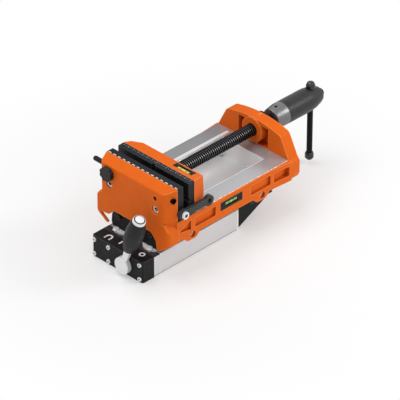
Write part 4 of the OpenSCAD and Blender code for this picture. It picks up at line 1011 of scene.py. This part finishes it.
class VISE_OT_stage(bpy.types.Operator):
    """Lay the floor, hang the lamps and place the camera"""
    bl_idname = "vise.stage"
    bl_label = "Stage"

    def execute(self, context):
        studio = context.scene.vise_studio
        self.floor(studio)
        self.card(studio)
        self.sky(context.scene, studio)
        aim = Vector(studio.aim)
        for name in ("overhead", "side", "rear"):
            spot = aim + Vector(getattr(studio, name + "_place"))
            size, power = getattr(studio, name + "_size"), getattr(studio, name)
            self.lamp(name + "_lamp", spot, aim, size, power)
        self.camera(context.scene, studio, aim)
        context.scene.view_settings.view_transform = "Standard"
        return {"FINISHED"}

    def floor(self, studio):
        mesh = bpy.data.meshes.new("floor")
        shape = bmesh.new()
        bmesh.ops.create_grid(shape, x_segments=1, y_segments=1, size=FLOOR_HALF)
        shape.to_mesh(mesh)
        shape.free()
        floor = bpy.data.objects.new("floor", mesh)
        floor.location.z = cad_low.z - FLOOR_GAP
        bpy.context.scene.collection.objects.link(floor)
        material, shader = finish("pale_floor")
        paint = (studio.floor, studio.floor, studio.floor, 1)
        set_shader(shader, Base_Color=paint, Roughness=0.9, Specular_IOR_Level=0.0)
        place = add(material, "ShaderNodeTexCoord")
        away = add(material, "ShaderNodeVectorMath", operation="DISTANCE")
        away.inputs[1].default_value = (studio.aim[0], studio.aim[1], 0)
        wash = add(material, "ShaderNodeMapRange", {
            "From Min": studio.pool, "From Max": studio.fade, "To Min": studio.wash},
            interpolation_type="SMOOTHSTEP")
        share_of = add(material, "ShaderNodeMath", operation="MULTIPLY")
        white = add(material, "ShaderNodeEmission", {"Color": (1, 1, 1, 1), "Strength": 1.0})
        both = add(material, "ShaderNodeMixShader")
        wire(material, place.outputs["Object"], away.inputs[0])
        wire(material, away.outputs["Value"], wash.inputs["Value"])
        wire(material, self.seen(material.node_tree), share_of.inputs[0])
        wire(material, wash.outputs["Result"], share_of.inputs[1])
        wire(material, share_of.outputs["Value"], both.inputs["Fac"])
        wire(material, shader.outputs["BSDF"], both.inputs[1])
        wire(material, white.outputs["Emission"], both.inputs[2])
        output = material.node_tree.nodes["Material Output"]
        wire(material, both.outputs["Shader"], output.inputs["Surface"])
        mesh.materials.append(material)

    def card(self, studio):
        """A dark card behind the left way, which only reflections show"""
        along, across = (X + Y).normalized(), (Y - X).normalized()
        far, slope = studio.card_far, math.tan(studio.elevation)
        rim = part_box("bed")[1].z - studio.card_drop
        mesh = bpy.data.meshes.new("shade_card")
        shape = bmesh.new()
        feet = [across * far + along * end for end in (-studio.card_left, studio.card_right)]
        tops = [foot + (rim + (far - foot.dot(along)) * slope) * Z for foot in feet]
        shape.faces.new([shape.verts.new(corner) for corner in (*feet, *reversed(tops))])
        shape.to_mesh(mesh)
        shape.free()
        card = bpy.data.objects.new("shade_card", mesh)
        for way in ("camera", "diffuse", "shadow", "transmission", "volume_scatter"):
            setattr(card, "visible_" + way, False)
        bpy.context.scene.collection.objects.link(card)
        material, shader = finish("grey_card")
        tone = (studio.card, studio.card, studio.card, 1)
        set_shader(shader, Base_Color=tone, Roughness=0.9, Specular_IOR_Level=0.0)
        mesh.materials.append(material)

    def seen(self, tree):
        """1 for a ray from the camera, straight or by way of metal or glass, and 0 for others"""
        path = tree.nodes.new("ShaderNodeLightPath")
        seen = path.outputs["Is Camera Ray"]
        for ray in ("Is Glossy Ray", "Is Transmission Ray"):
            either = tree.nodes.new("ShaderNodeMath")
            either.operation = "MAXIMUM"
            tree.links.new(seen, either.inputs[0])
            tree.links.new(path.outputs[ray], either.inputs[1])
            seen = either.outputs["Value"]
        return seen

    def sky(self, scene, studio):
        world = bpy.data.worlds.new("studio_sky")
        world.use_nodes = True
        scene.world = world
        tree = world.node_tree
        back = tree.nodes["Background"]
        back.inputs["Color"].default_value = (1, 1, 1, 1)
        strength = tree.nodes.new("ShaderNodeMapRange")
        strength.inputs["To Min"].default_value = studio.sky
        strength.inputs["To Max"].default_value = 1.0
        tree.links.new(self.seen(tree), strength.inputs["Value"])
        tree.links.new(strength.outputs["Result"], back.inputs["Strength"])

    def lamp(self, name, place, aim, size, power):
        light = bpy.data.lights.new(name, "AREA")
        light.shape = "DISK"
        light.size = size
        light.energy = power
        lamp = bpy.data.objects.new(name, light)
        lamp.location = place
        lamp.rotation_euler = (aim - place).to_track_quat("-Z", "Y").to_euler()
        bpy.context.scene.collection.objects.link(lamp)

    def camera(self, scene, studio, aim):
        turn, rise = studio.azimuth, studio.elevation
        level = math.sin(turn) * X - math.cos(turn) * Y
        back = math.cos(rise) * level + math.sin(rise) * Z
        data = bpy.data.cameras.new("camera")
        data.lens = studio.lens
        data.sensor_width = SENSOR
        data.clip_end = CLIP_END
        camera = bpy.data.objects.new("camera", data)
        camera.location = aim + back * studio.distance
        camera.rotation_euler = back.to_track_quat("Z", "Y").to_euler()
        scene.collection.objects.link(camera)
        scene.camera = camera


OPERATORS = (
    VISE_OT_castings, VISE_OT_ways, VISE_OT_magnet, VISE_OT_cover, VISE_OT_lever,
    VISE_OT_saddle, VISE_OT_jaw_plates, VISE_OT_spindle, VISE_OT_handle, VISE_OT_levels,
    VISE_OT_stops, VISE_OT_stage)


class VISE_PT_panel(bpy.types.Panel):
    """Lists the steps that dress the vise"""
    bl_idname = "VISE_PT_panel"
    bl_label = "Magnetic Vise"
    bl_space_type = "VIEW_3D"
    bl_region_type = "UI"
    bl_category = "Vise"

    def draw(self, context):
        for operator in OPERATORS:
            self.layout.operator(operator.bl_idname)
        for name in GROUPS:
            group = getattr(context.scene, name)
            for key in group.__annotations__:
                self.layout.prop(group, key)


GROUPS = {"vise_colours": ViseColours, "vise_sizes": ViseSizes, "vise_studio": ViseStudio}
CLASSES = (*GROUPS.values(), *OPERATORS, VISE_PT_panel)


def register():
    for item in CLASSES:
        bpy.utils.register_class(item)
    for name, group in GROUPS.items():
        setattr(bpy.types.Scene, name, PointerProperty(type=group))


def unregister():
    for name in GROUPS:
        delattr(bpy.types.Scene, name)
    for item in reversed(CLASSES):
        bpy.utils.unregister_class(item)


def main():
    register()
    make_finishes(bpy.context.scene.vise_colours)
    for operator in OPERATORS:
        group, name = operator.bl_idname.split(".")
        getattr(getattr(bpy.ops, group), name)()


if __name__ == "__main__":
    main()
